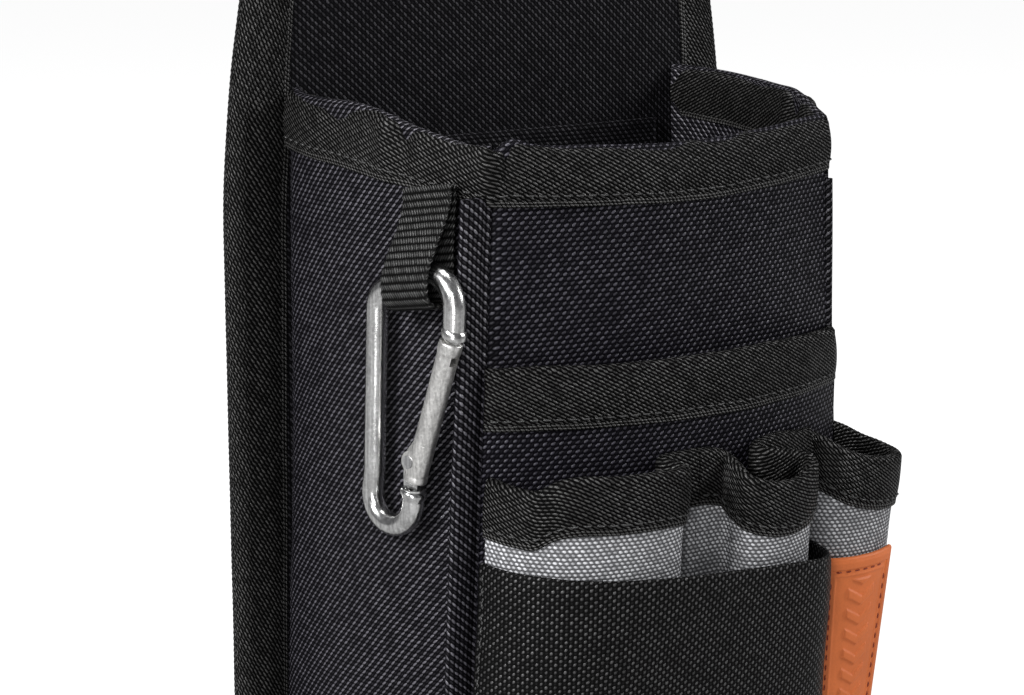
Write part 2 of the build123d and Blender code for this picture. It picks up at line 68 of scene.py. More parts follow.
# ---------------------------------------------------------------- sizes read from the frame
_, PANEL_HIGH = corners_mm("back_binding")
INNER_LOW, INNER_HIGH = corners_mm("back_panel_inner")
_, OUTER_HIGH = corners_mm("back_panel_outer")
FRONT_LOW, FRONT_HIGH = corners_mm("front_panel")
_, BASE_HIGH = corners_mm("bottom_panel")
_, POCKET_HIGH = corners_mm("front_pocket")
SLIP_LOW, SLIP_HIGH = corners_mm("inner_slip_pocket")
LOOP_LOW, LOOP_HIGH = corners_mm("tool_loop_left")
LABEL_LOW, LABEL_HIGH = corners_mm("label_patch")
TUNNEL_LOW, TUNNEL_HIGH = corners_mm("belt_tunnel")

WALL = 2.8                          # lined and padded wall
CLOTH = 1.2                         # single cloth of the second pocket and the loops
TAPE = 0.85
BACK_Y = INNER_LOW[1]               # inner face of the back panel
PANEL_BACK_Y = OUTER_HIGH[1]
FRONT_Y = FRONT_HIGH[1] - WALL      # plane of the two front corners
FRONT_BULGE = FRONT_Y - FRONT_LOW[1]
RIM_SLOPE = 0.119
RIM_Z = FRONT_HIGH[2] - RIM_SLOPE * WALL
CORNER_SPREAD = 0.042
CORNER_HALF_AT_RIM = 49.7
ROOT_HALF_AT_RIM = 60.2
ROOT_SPREAD = 0.0225
GUSSET_BULGE = 5.5
BASE_THICKNESS = 3.0
RAMP_START_Y = 17.0
RAMP_RISE = BASE_HIGH[2] - BASE_THICKNESS
PANEL_HALF = PANEL_HIGH[0]
PANEL_TOP = PANEL_HIGH[2]
FLANGE = 11.0
TAPER_ANGLE = math.radians(9.6)
TAPER_CORNER_Z = 167.2
POCKET_TOP = POCKET_HIGH[2]
LOOP_FOOT_Z = LOOP_LOW[2]
LOOP_TOP_Z = LOOP_HIGH[2]


# ---------------------------------------------------------------- curves and tables
def table(points):
    """Smooth function through a few (position, value) points."""
    xs, ys = np.array(points, float).T
    slopes = np.gradient(ys, xs)

    def value(x):
        x = np.clip(x, xs[0], xs[-1])
        i = np.clip(np.searchsorted(xs, x) - 1, 0, len(xs) - 2)
        h = xs[i + 1] - xs[i]
        t = (x - xs[i]) / h
        return ((2 * t ** 3 - 3 * t ** 2 + 1) * ys[i] + (t ** 3 - 2 * t ** 2 + t) * h * slopes[i]
                + (3 * t ** 2 - 2 * t ** 3) * ys[i + 1] + (t ** 3 - t ** 2) * h * slopes[i + 1])
    return value


def along(points):
    """Distance along a polyline at each of its points."""
    steps = np.linalg.norm(np.diff(points, axis=0), axis=1)
    return np.concatenate([[0.0], np.cumsum(steps)])


def smooth_path(points, count):
    """Evenly spaced points on a Catmull-Rom curve through the given ones."""
    p = np.array(points, float)
    p = np.vstack([2 * p[0] - p[1], p, 2 * p[-1] - p[-2]])
    dense = []
    for a, b, c, d in zip(p, p[1:], p[2:], p[3:]):
        for t in np.linspace(0, 1, 24, endpoint=False):
            dense.append(0.5 * (2 * b + (c - a) * t + (2 * a - 5 * b + 4 * c - d) * t ** 2
                                + (3 * b - a - 3 * c + d) * t ** 3))
    dense.append(p[-2])
    return even(np.array(dense), count)


def even(points, count):
    """The same polyline with evenly spaced points."""
    s = along(points)
    places = np.linspace(0, s[-1], count)
    return np.stack([np.interp(places, s, points[:, k]) for k in range(points.shape[1])], axis=1)


def arc(p0, pm, p1, count):
    """Points on the circle through three points in plan."""
    (ax, ay), (bx, by), (cx, cy) = p0, pm, p1
    d = 2 * (ax * (by - cy) + bx * (cy - ay) + cx * (ay - by))
    ux = ((ax ** 2 + ay ** 2) * (by - cy) + (bx ** 2 + by ** 2) * (cy - ay)
          + (cx ** 2 + cy ** 2) * (ay - by)) / d
    uy = ((ax ** 2 + ay ** 2) * (cx - bx) + (bx ** 2 + by ** 2) * (ax - cx)
          + (cx ** 2 + cy ** 2) * (bx - ax)) / d
    radius = math.hypot(ax - ux, ay - uy)
    angles = np.unwrap([math.atan2(y - uy, x - ux) for x, y in (p0, pm, p1)])
    sweep = np.linspace(angles[0], angles[2], count)
    return np.stack([ux + radius * np.cos(sweep), uy + radius * np.sin(sweep)], axis=1)


def ripple(a, b, seed, wavelength):
    """Gentle unevenness over two coordinates, about -1 to 1, the same on every run."""
    rng = np.random.RandomState(seed)
    total = np.zeros(np.broadcast(a, b).shape)
    for _ in range(5):
        turn = rng.uniform(0, math.pi)
        length = wavelength * rng.uniform(0.7, 1.6)
        phase = rng.uniform(0, 2 * math.pi)
        total += np.sin((a * math.cos(turn) + b * math.sin(turn)) * 2 * math.pi / length + phase)
    return total / 3.2


def bump_at(x, centre, width):
    return np.exp(-((x - centre) / width) ** 2)


# ---------------------------------------------------------------- meshes
def make_object(name, verts, quads, uv, material):
    mesh = bpy.data.meshes.new(name)
    mesh.vertices.add(len(verts))
    mesh.vertices.foreach_set("co", (np.asarray(verts) * MM).astype(np.float32).ravel())
    mesh.loops.add(4 * len(quads))
    mesh.loops.foreach_set("vertex_index", np.asarray(quads, np.int32).ravel())
    mesh.polygons.add(len(quads))
    mesh.polygons.foreach_set("loop_start", np.arange(0, 4 * len(quads), 4, dtype=np.int32))
    mesh.polygons.foreach_set("use_smooth", np.ones(len(quads), bool))
    layer = mesh.uv_layers.new(name="mm")
    layer.data.foreach_set("uv", np.asarray(uv, np.float32).ravel())
    mesh.update(calc_edges=True)
    mesh.validate()
    mesh.materials.append(material)
    obj = bpy.data.objects.new(name, mesh)
    bpy.context.scene.collection.objects.link(obj)
    return obj


def rings_to_quads(rings, ring_uv, closed):
    """Quads and corner UVs of rings (n, m, 3) of closed loops; ring_uv is (n or n + 1, m + 1,
    2)."""
    n, m = rings.shape[:2]
    rows = n if closed else n - 1
    i, j = np.meshgrid(np.arange(rows), np.arange(m), indexing="ij")
    i, j = i.ravel(), j.ravel()
    i2, j2 = (i + 1) % n, (j + 1) % m
    quads = np.stack([i * m + j, i2 * m + j, i2 * m + j2, i * m + j2], axis=1)
    uv = np.stack([ring_uv[i, j], ring_uv[i + 1, j], ring_uv[i + 1, j + 1], ring_uv[i, j + 1]],
                  axis=1)
    if not closed:
        half = np.arange(m // 2 - 1)
        for row, flip in ((0, False), (n - 1, True)):
            cap = np.stack([half, half + 1, m - 2 - half, m - 1 - half], axis=1)
            cap_uv = ring_uv[row][cap]
            if not flip:
                cap, cap_uv = cap[:, ::-1], cap_uv[:, ::-1]
            quads = np.vstack([quads, row * m + cap])
            uv = np.concatenate([uv, cap_uv])
    return quads, uv


RIM_POINTS = 4


def shell(name, middle, thickness, material, s, t, closed=False, flip=False):
    """Closed sheet of cloth about a lattice (n, m, 3), with rounded hems along both long edges.
    s runs along the first axis and t along the second, both in mm."""
    n, m = middle.shape[:2]
    if closed:
        du = np.roll(middle, -1, axis=0) - np.roll(middle, 1, axis=0)
    else:
        du = np.gradient(middle, axis=0)
    dv = np.gradient(middle, axis=1)
    normal = np.cross(du, dv)
    normal /= np.maximum(np.linalg.norm(normal, axis=2, keepdims=True), 1e-9)
    if flip:
        normal = -normal
    half = np.broadcast_to(np.asarray(thickness, float), (n, m))[..., None] / 2
    front, back = middle + normal * half, middle - normal * half
    s = np.broadcast_to(s[:, None] if s.ndim == 1 else s, (n, m))
    t = np.broadcast_to(t[None, :] if t.ndim == 1 else t, (n, m))

    def hem(edge, inner):
        """Half-round between the two faces at one edge, from front to back."""
        out = middle[:, edge] - middle[:, inner]
        out /= np.maximum(np.linalg.norm(out, axis=1, keepdims=True), 1e-9)
        reach = half[:, edge]
        points = []
        for k in range(1, RIM_POINTS + 1):
            a = math.pi * k / (RIM_POINTS + 1)
            points.append(middle[:, edge] + normal[:, edge] * reach * math.cos(a)
                          + out * reach * math.sin(a))
        return np.stack(points, axis=1)

    top, bottom = hem(-1, -2), hem(0, 1)[:, ::-1]
    k = RIM_POINTS // 2
    rings = np.concatenate([bottom[:, k:], front, top, back[:, ::-1], bottom[:, :k]], axis=1)
    step = half[:, 0, 0] * math.pi / (RIM_POINTS + 1)
    low = [t[:, 0] - step * (k - q) for q in range(k)]
    high = [t[:, -1] + step * (q + 1) for q in range(RIM_POINTS)]
    low_back = [t[:, 0] - step * (q + 1) for q in range(k)]
    ring_t = np.concatenate([np.stack(low, 1), t, np.stack(high, 1), t[:, ::-1],
                             np.stack(low_back, 1), low[0][:, None]], axis=1)
    ring_s = np.concatenate([np.repeat(s[:, :1], k, 1), s, np.repeat(s[:, -1:], RIM_POINTS, 1),
                             s[:, ::-1], np.repeat(s[:, :1], k + 1, 1)], axis=1)
    ring_uv = np.stack([ring_s, ring_t], axis=2)
    if closed:
        lap = ring_uv[0].copy()
        lap[:, 0] += s[-1, 0] + (s[-1, 0] - s[-2, 0]) - s[0, 0]
        ring_uv = np.concatenate([ring_uv, lap[None]], axis=0)
    quads, uv = rings_to_quads(rings, ring_uv, closed)
    if flip:
        quads, uv = quads[:, ::-1], uv[:, ::-1]
    return make_object(name, rings.reshape(-1, 3), quads, uv, material), front


class Wall:
    """A standing cloth wall: its plan line at a low and a high level, ruled between them."""

    def __init__(self, low_xy, low_z, high_xy, high_z, relief=None):
        self.low_xy, self.low_z = np.asarray(low_xy, float), low_z
        self.high_xy, self.high_z = np.asarray(high_xy, float), high_z
        self.relief = relief
        self.s = along(self.high_xy)

    def at(self, z, offset=0.0):
        """Points (n, m, 3) at heights z (n, m), moved outwards by offset."""
        share = ((z - self.low_z) / (self.high_z - self.low_z))[..., None]
        xy = self.low_xy[:, None] + (self.high_xy - self.low_xy)[:, None] * share
        run = np.gradient(xy, axis=0)
        run /= np.maximum(np.linalg.norm(run, axis=2, keepdims=True), 1e-9)
        outward = np.stack([run[..., 1], -run[..., 0]], axis=2)
        lift = np.broadcast_to(offset, z.shape)
        if self.relief is not None:
            lift = lift + self.relief(self.s[:, None], z)
        xy = xy + outward * lift[..., None]
        return np.concatenate([xy, z[..., None]], axis=2)

    def cloth(self, name, thickness, bottom, top, rows, material):
        """The wall itself between two heights (arrays or numbers)."""
        bottom = np.broadcast_to(bottom, self.s.shape)
        top = np.broadcast_to(top, self.s.shape)
        share = np.linspace(0, 1, rows)
        z = bottom[:, None] + (top - bottom)[:, None] * share[None]
        return shell(name, self.at(z), thickness, material, self.s, z)[0]

    def tape(self, name, gap, top, height, material, leaf_rows=26, puff=0.35):
        """Binding folded over the wall's top edge. gap is half the wall's thickness."""
        radius = gap + TAPE / 2
        top = np.broadcast_to(top, self.s.shape)
        height = np.broadcast_to(height, self.s.shape)
        share = np.linspace(0, 1, leaf_rows)
        turn = np.linspace(0, math.pi, 11)[1:-1]
        shoulder = top - radius
        foot = top - height
        outer_z = foot[:, None] + (shoulder - foot)[:, None] * share[None]
        inner_z = outer_z[:, ::-1]
        swell = puff * np.sin(np.pi * np.clip(share * 1.15 - 0.12, 0, 1)) ** 0.8
        over_z = shoulder[:, None] + radius * np.sin(turn)[None]
        z = np.concatenate([outer_z, over_z, inner_z], axis=1)
        offset = np.concatenate([radius + swell, radius * np.cos(turn), -radius - swell[::-1]])
        weave = 0.07 * np.cos(2 * np.pi * self.s / 1.18)[:, None] * np.concatenate(
            [share ** 6, np.ones(len(turn)), share[::-1] ** 6])[None]
        lattice = self.at(z, offset[None] + weave * np.sign(offset)[None])
        lattice[..., 2] += weave * np.concatenate(
            [0 * share, np.sin(turn), 0 * share])[None]
        leaf = (shoulder - foot)[:, None] * share[None]
        over = (shoulder - foot)[:, None] + radius * np.minimum(turn, math.pi - turn)[None]
        t = np.concatenate([leaf, over, leaf[:, ::-1]], axis=1)
        obj, face = shell(name, lattice, TAPE, material, self.s, t)
        return obj, face, t


# ---------------------------------------------------------------- node materials
class Tree:
    """Short-hand for building a material's nodes."""

    def __init__(self, name):
        self.material = bpy.data.materials.new(name)
        self.material.use_nodes = True
        self.nodes = self.material.node_tree.nodes
        self.links = self.material.node_tree.links
        self.shader = self.nodes["Principled BSDF"]

    def put(self, socket, value):
        if isinstance(value, bpy.types.NodeSocket):
            self.links.new(value, socket)
        else:
            socket.default_value = value

    def math(self, operation, a, b=0.0, c=0.0):
        node = self.nodes.new("ShaderNodeMath")
        node.operation = operation
        for socket, value in zip(node.inputs, (a, b, c)):
            self.put(socket, value)
        return node.outputs[0]

    def mul(self, a, b):
        return self.math("MULTIPLY", a, b)

    def add(self, a, b):
        return self.math("ADD", a, b)

    def clamp(self, a):
        return self.math("MINIMUM", self.math("MAXIMUM", a, 0.0), 1.0)

    def scaled(self, vector, scale):
        node = self.nodes.new("ShaderNodeMapping")
        node.inputs["Scale"].default_value = scale
        self.links.new(vector, node.inputs["Vector"])
        return node.outputs[0]

    def mix(self, factor, a, b):
        """a where factor is 0 and b where it is 1."""
        return self.add(a, self.mul(factor, self.math("SUBTRACT", b, a)))

    def uv(self):
        node = self.nodes.new("ShaderNodeUVMap")
        node.uv_map = "mm"
        split = self.nodes.new("ShaderNodeSeparateXYZ")
        self.links.new(node.outputs[0], split.inputs[0])
        return split.outputs[0], split.outputs[1]

    def vector(self, x, y, z=0.0):
        node = self.nodes.new("ShaderNodeCombineXYZ")
        for socket, value in zip(node.inputs, (x, y, z)):
            self.put(socket, value)
        return node.outputs[0]

    def noise(self, vector, scale, detail=2.0):
        node = self.nodes.new("ShaderNodeTexNoise")
        node.inputs["Scale"].default_value = scale
        node.inputs["Detail"].default_value = detail
        self.links.new(vector, node.inputs["Vector"])
        return node.outputs[0]

    def place(self):
        return self.nodes.new("ShaderNodeTexCoord").outputs["Object"]

    def random(self, x, y):
        node = self.nodes.new("ShaderNodeTexWhiteNoise")
        node.noise_dimensions = "2D"
        self.links.new(self.vector(x, y), node.inputs["Vector"])
        return node.outputs[0]

    def ramp(self, factor, dark, light):
        node = self.nodes.new("ShaderNodeMix")
        node.data_type = "RGBA"
        self.put(node.inputs[0], factor)
        node.inputs[6].default_value = (*dark, 1)
        node.inputs[7].default_value = (*light, 1)
        return node.outputs[2]

    def bump(self, height, distance, strength=1.0):
        node = self.nodes.new("ShaderNodeBump")
        node.inputs["Strength"].default_value = strength
        node.inputs["Distance"].default_value = distance * MM
        self.links.new(height, node.inputs["Height"])
        self.links.new(node.outputs[0], self.shader.inputs["Normal"])

    def finish(self, color, roughness, specular=0.3):
        self.put(self.shader.inputs["Base Color"], color)
        self.put(self.shader.inputs["Roughness"], roughness)
        self.put(self.shader.inputs["Specular IOR Level"], specular)
        return self.material


def cell(tree, u, v, pitch_u, pitch_v, shift=0.0, skew=0.0):
    """Places inside a repeating cell, from -1 to 1 both ways, and the cell's numbers."""
    row = tree.math("DIVIDE", v, pitch_v)
    row_number = tree.math("FLOOR", row)
    y = tree.math("MULTIPLY_ADD", tree.math("FRACT", row), 2.0, -1.0)
    column = tree.math("DIVIDE", tree.math("MULTIPLY_ADD", row_number, shift, u), pitch_u)
    if skew:
        column = tree.math("MULTIPLY_ADD", y, skew, column)
    column_number = tree.math("FLOOR", column)
    x = tree.math("MULTIPLY_ADD", tree.math("FRACT", column), 2.0, -1.0)
    return x, y, column_number, row_number


def crown(tree, x, y, reach_x, reach_y):
    """Top of one yarn: 1 in the middle of its cell and 0 outside an ellipse."""
    x = tree.math("DIVIDE", x, reach_x)
    y = tree.math("DIVIDE", y, reach_y)
    far = tree.add(tree.mul(x, x), tree.mul(y, y))
    return tree.math("SQRT", tree.math("MAXIMUM", tree.math("SUBTRACT", 1.0, far), 0.0))


def yarn_cloth(name, dark, light, pitch, shift, skew, reach, gloss=0.5, roughness=0.42, relief=0.3,
               ground=0.06, edge=None, wander=0.45, patchy=0.5, chance_share=1.0, slope=0.0):
    """Woven cloth: glossy yarn crowns with painted shade in the hollows between them, in colour and
    gloss.
    The weft crowns sit in rows shifted by a set step; smaller warp crowns fill the places between.
    slope tilts the rows; edge is (width, pitch, shift, skew) of a tighter cord along the
    cloth's woven edge."""
    tree = Tree(name)
    u, v = tree.uv()
    for scale_u, share_u, scale_v, share_v in ((60.0, wander, 45.0, wander),
                                               (620.0, 0.42, 540.0, 0.30)):
        u = tree.math("MULTIPLY_ADD", tree.noise(tree.place(), scale_u), share_u, u)
        v = tree.math("MULTIPLY_ADD", tree.noise(tree.place(), scale_v), share_v, v)
    row_v = tree.math("MULTIPLY_ADD", u, slope, v) if slope else v
    x, y, i, j = cell(tree, u, row_v, pitch[0], pitch[1], shift, skew)
    height = crown(tree, x, y, reach[0], reach[1])
    between_u = tree.add(u, pitch[0] / 2)
    bx, by, _, _ = cell(tree, between_u, row_v, pitch[0], pitch[1], shift, skew)
    height = tree.math("MAXIMUM", height, tree.mul(crown(tree, bx, by, 0.34, 0.8), 0.3))
    tone_gain = 1.0
    if edge:
        width, edge_pitch, edge_shift, edge_skew = edge
        ex, ey, _, _ = cell(tree, u, v, edge_pitch[0], edge_pitch[1], edge_shift, edge_skew)
        at_edge = tree.math("LESS_THAN", v, width)
        height = tree.mix(at_edge, height, crown(tree, ex, ey, 0.9, 0.95))
        tone_gain = tree.math("MULTIPLY_ADD", at_edge, 0.6, 1.0)
    chance = tree.random(i, j)
    fibre = tree.noise(tree.vector(tree.mul(u, 1.6), tree.mul(v, 9.0)), 1.0, 3.0)
    patch = tree.noise(tree.place(), 24.0, 3.0)
    # Painted shade: the tone, and with it the colour, falls from each yarn crown to the ground tone
    # in the hollows between crowns.
    tone = tree.mul(height, height)
    for chance_of, share in ((chance, chance_share), (patch, patchy)):
        tone = tree.mul(tone, tree.math("MULTIPLY_ADD", chance_of, share, 1.0 - share / 2))
    tone = tree.mul(tone, tree.math("MULTIPLY_ADD", fibre, 0.9, 0.5))
    tone = tree.math("MINIMUM", tree.mul(tree.add(tone, ground), tone_gain), 1.0)
    tree.bump(tree.math("MULTIPLY_ADD", fibre, 0.16, height), relief)
    rough = tree.math("MULTIPLY_ADD", fibre, 0.24, roughness - 0.12)
    # The gloss follows the same tone, so the hollows are painted without reflection: painted shade.
    return tree.finish(tree.ramp(tone, dark, light), rough, tree.mul(tone, gloss))


def thread_material(name, dark, light, lay, roughness, specular):
    """Twisted thread; lay is how fast its twist runs along the two UV directions."""
    tree = Tree(name)
    u, v = tree.uv()
    twist = tree.math("SINE", tree.mul(tree.add(tree.mul(u, lay[0]), tree.mul(v, lay[1])), 6.28318))
    tree.bump(twist, 0.05)
    tone = tree.math("MULTIPLY_ADD", twist, 0.3, 0.6)
    return tree.finish(tree.ramp(tone, dark, light), roughness, specular)


def metal_material(name, color, roughness):
    """Satin metal with drawn streaks, fine scratches, bright flecks and duller patches."""
    tree = Tree(name)
    where = tree.place()
    scratch = tree.noise(tree.scaled(where, (2600.0, 2600.0, 300.0)), 1.0, 4.0)
    streak = tree.noise(tree.scaled(where, (1500.0, 1500.0, 60.0)), 1.0, 3.0)
    streak = tree.clamp(tree.math("MULTIPLY_ADD", streak, 4.0, -1.6))
    mottle = tree.noise(where, 420.0, 4.0)
    dents = tree.noise(where, 1500.0, 3.0)
    fleck = tree.math("POWER", dents, 3.0)
    tone = tree.math("MULTIPLY_ADD", mottle, 0.8, 0.25)
    tone = tree.add(tree.mul(tone, 0.55), tree.mul(fleck, 1.2))
    tone = tree.math("MULTIPLY_ADD", streak, 0.42, tone)
    tone = tree.clamp(tone)
    shade = tree.ramp(tone, tuple(c * 0.20 for c in color), color)
    rough = tree.math("MULTIPLY_ADD", scratch, 0.16, roughness)
    rough = tree.math("MULTIPLY_ADD", mottle, 0.10, rough)
    tree.shader.inputs["Metallic"].default_value = 1.0
    tree.bump(tree.add(tree.mul(dents, 0.8), scratch), 0.035, 0.6)
    return tree.finish(shade, rough, 0.5)


def label_material():
    tree = Tree("label_rubber")
    where = tree.place()
    grain = tree.noise(where, 1500.0, 3.0)
    broad = tree.noise(where, 90.0, 3.0)
    tone = tree.math("MULTIPLY_ADD", grain, 0.3, tree.mul(broad, 0.7))
    tree.bump(grain, 0.05)
    color = tree.ramp(tone, (0.42, 0.098, 0.024), (0.80, 0.205, 0.054))
    rough = tree.math("MULTIPLY_ADD", grain, 0.2, 0.42)
    return tree.finish(color, rough, 0.35)


def grained_material(name, scale, relief, dark, light, roughness, specular):
    """Plain solid with a fine grain, for the foam and the board inside the back panel."""
    tree = Tree(name)
    grain = tree.noise(tree.place(), scale, 3.0)
    tree.bump(grain, relief)
    return tree.finish(tree.ramp(grain, dark, light), roughness, specular)


WEAVE = (1.89, 1.087)
OXFORD = yarn_cloth("oxford_black", (0.0012, 0.0011, 0.0016), (0.080, 0.076, 0.092), WEAVE, 0.945,
                    -0.24, (0.50, 1.05), gloss=0.9, ground=0.02)
# Darker, less glossy copy of the black oxford for the front panel and the second pocket: painted
# shade of faces turned away from the key light.
OXFORD_FRONT_SHADED = yarn_cloth("oxford_black_front_shaded", (0.0012, 0.0011, 0.0017), (0.046, 0.043, 0.058),
                          WEAVE, 0.945, -0.14, (0.56, 0.90), gloss=0.55, ground=0.04)
# Darker, less glossy copy of the black oxford for the faces inside the pouch: painted shade of the
# pouch's inside.
OXFORD_INSIDE_SHADED = yarn_cloth("oxford_inside_shaded", (0.0018, 0.0017, 0.0021), (0.028, 0.027, 0.032), WEAVE, 0.945,
                    0.24, (0.52, 1.0), gloss=0.3, roughness=0.6)
GREY = yarn_cloth("oxford_grey", (0.072, 0.072, 0.076), (0.60, 0.605, 0.63), (1.36, 0.92), 0.68,
                  0.12, (0.84, 0.94), gloss=0.6, ground=0.04, roughness=0.55)
TAPE_EDGE = (1.5, (1.05, 0.75), 0.5, 0.3)
BINDING = yarn_cloth("binding_tape", (0.0010, 0.0010, 0.0010), (0.038, 0.037, 0.036), (1.42, 0.84),
                     0.60, 0.10, (1.02, 0.68), gloss=0.55, relief=0.34, ground=0.02,
                     edge=TAPE_EDGE, slope=0.50)
WEBBING = yarn_cloth("band_webbing", (0.0012, 0.0012, 0.0012), (0.046, 0.045, 0.046), (2.1, 0.90),
                     1.05, -0.05, (0.40, 1.05), gloss=0.7, ground=0.04)
TAB_RIB = 1.70
TAB_WEBBING = yarn_cloth("tab_webbing", (0.0010, 0.0010, 0.0010), (0.035, 0.035, 0.034),
                         (0.80, TAB_RIB), 0.3, 0.42, (0.92, 0.86), gloss=0.7, relief=0.45)
THREAD = thread_material("thread", (0.006, 0.006, 0.006), (0.05, 0.05, 0.05), (1.4, 0.8), 0.38, 0.5)
LABEL_THREAD = thread_material("label_thread", (0.10, 0.012, 0.008), (0.30, 0.045, 0.022),
                               (1.6, 1.0), 0.5, 0.3)
ALUMINIUM = metal_material("satin_aluminium", (0.80, 0.80, 0.795), 0.08)
# The gate's copy of the satin aluminium: a lighter colour, painted light of a gate that faces the
# key, and a higher roughness.
GATE_ALUMINIUM_LIT = metal_material("aluminium_gate_lit", (0.93, 0.92, 0.90), 0.26)
STEEL = metal_material("rivet_steel", (0.62, 0.62, 0.63), 0.3)
LABEL = label_material()
FOAM = grained_material("closed_cell_foam", 1400.0, 0.2, (0.10, 0.10, 0.10), (0.26, 0.26, 0.26),
                        0.9, 0.2)
BOARD = grained_material("plastic_board", 500.0, 0.05, (0.02, 0.02, 0.02), (0.05, 0.05, 0.05),
                         0.5, 0.4)


# ---------------------------------------------------------------- stitches
def stitch_row(path, outward, pitch=3.0, length=2.2, radius=0.24, lift=0.16):
    """Rings of one row of stitches along a path (n, 3), standing on its outward side."""
    s = along(path)
    count = int((s[-1] - pitch * 0.6) / pitch)
    starts = pitch * 0.4 + pitch * np.arange(count)
    share = np.array([0.0, 0.22, 0.5, 0.78, 1.0])
    rise = np.array([-1.6, 0.55, 1.0, 0.55, -1.6]) * lift
    thick = np.array([0.5, 0.92, 1.0, 0.92, 0.5]) * radius
    pieces = []
    for start in starts:
        places = start + share * length
        centre = np.stack([np.interp(places, s, path[:, k]) for k in range(3)], axis=1)
        out = np.stack([np.interp(places, s, outward[:, k]) for k in range(3)], axis=1)
        out /= np.linalg.norm(out, axis=1, keepdims=True)
        ahead = np.gradient(centre, axis=0)
        ahead /= np.linalg.norm(ahead, axis=1, keepdims=True)
        side = np.cross(ahead, out)
        centre = centre + out * rise[:, None]
        turn = np.arange(6) * math.pi / 3
        across = np.cos(turn)[None, :, None] * thick[:, None, None]
        ring = (centre[:, None] + side[:, None] * across
                + out[:, None] * (np.sin(turn)[None, :, None] * thick[:, None, None]))
        pieces.append(ring)
    return pieces


def stitch_object(name, rings, material):
    """One mesh from many short stitches."""
    verts, quads, uvs = [], [], []
    base = 0
    for ring in rings:
        n, m = ring.shape[:2]
        i, j = np.meshgrid(np.arange(n), np.arange(m + 1), indexing="ij")
        ring_uv = np.stack([i * 0.5, j * 0.3], axis=2).astype(float)
        q, uv = rings_to_quads(ring, ring_uv, False)
        verts.append(ring.reshape(-1, 3))
        quads.append(q + base)
        uvs.append(uv)
        base += n * m
    obj = make_object(name, np.vstack(verts), np.vstack(quads), np.concatenate(uvs), material)
    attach(obj, "pouch")
    return obj


def outward_of(face):
    """Unit normals of a lattice's face."""
    out = np.cross(np.gradient(face, axis=0), np.gradient(face, axis=1))
    return out / np.linalg.norm(out, axis=2, keepdims=True)


seams = []
HEM_SEAM = 2.3                      # from a tape's lower edge to its seam


def sew_tape(face, t, distance=HEM_SEAM):
    """Adds the row of stitches that runs at a distance from a tape's lower edge."""
    column = int(np.argmin(np.abs(t[len(t) // 2, : t.shape[1] // 2] - distance)))
    seams.extend(stitch_row(face[:, column], outward_of(face)[:, column]))


def cut(piece):
    """Returns the piece of cloth unchanged."""
    return piece


# ---------------------------------------------------------------- main pocket
def corner_half(z):
    return CORNER_HALF_AT_RIM + CORNER_SPREAD * (RIM_Z - z)


def root_half(z):
    return ROOT_HALF_AT_RIM + ROOT_SPREAD * (RIM_Z - z)


def pocket_plan(z, inset, step):
    """Left gusset, front and right gusset in plan at height z, moved inwards by inset."""
    w, root = corner_half(z) - inset, root_half(z) - inset
    y_front = FRONT_Y + inset
    y_mid = (FRONT_Y + WALL + BACK_Y) / 2
    x_mid = (corner_half(z) + root_half(z)) / 2 + GUSSET_BULGE - inset
    side_count = int((BACK_Y - y_front) / step)
    front_count = int(2 * corner_half(RIM_Z) / step)
    left = arc((-root, BACK_Y), (-x_mid, y_mid), (-w, y_front), side_count)
    front = arc((-w, y_front), (0, y_front - FRONT_BULGE), (w, y_front), front_count)
    right = arc((w, y_front), (x_mid, y_mid), (root, BACK_Y), side_count)
    return left, front, right


def base_z(y):
    """Underside of the base at depth y."""
    return np.maximum(0.0, (y - RAMP_START_Y) / (BACK_Y - RAMP_START_Y) * RAMP_RISE)


# Heights of the rim and of its tape's lower edge. The gussets' go by distance from the front
# corner, the front's by x.
LEFT_RIM = table([(0, 171.9), (5, 171.8), (11, 173.0), (20, 175.0), (25, 176.3), (32, 177.9),
                  (39, 178.8), (49, 178.9), (60, 179.0), (70, 180.0)])
LEFT_TAPE_FOOT = table([(0, 159.8), (6, 160.9), (20, 162.6), (30, 163.8), (41, 165.1), (56, 166.1),
                        (70, 167.6)])
FRONT_RIM = table([(-50, 172.0), (-47.6, 170.9), (-45.6, 172.6), (-38, 171.6), (-25, 171.0),
                   (3, 170.2), (21, 171.0), (40, 172.2), (50, 172.5)])
FRONT_TAPE_FOOT = table([(-50, 159.8), (-40, 159.4), (-20, 158.6), (3, 157.9), (21, 158.6),
                         (50, 160.4)])
RIGHT_RIM = table([(0, 172.5), (8, 174.3), (16, 176.5), (27, 177.1), (50, 178.4), (70, 179.2)])
RIGHT_TAPE_FOOT = table([(0, 160.4), (16, 163.4), (40, 165.3), (70, 167.2)])


WALL_STEP, WALL_ROWS = 0.9, 190     # mesh spacing along a wall, rows up it
UNDER_TAPE = 0.6                    # a wall's edge stops this far under its binding


def gusset_relief(side):
    def relief(s, z):
        """Soft hollows of the cloth, most of them under the rim and beside the back seam."""
        low = np.clip((z - 10) / 60, 0, 1)
        waves = 0.55 * ripple(s, z * 0.45, 11 + side, 38.0)
        seam = -1.1 * bump_at(s, 0.0, 3.5)
        return (waves + seam) * low
    return relief


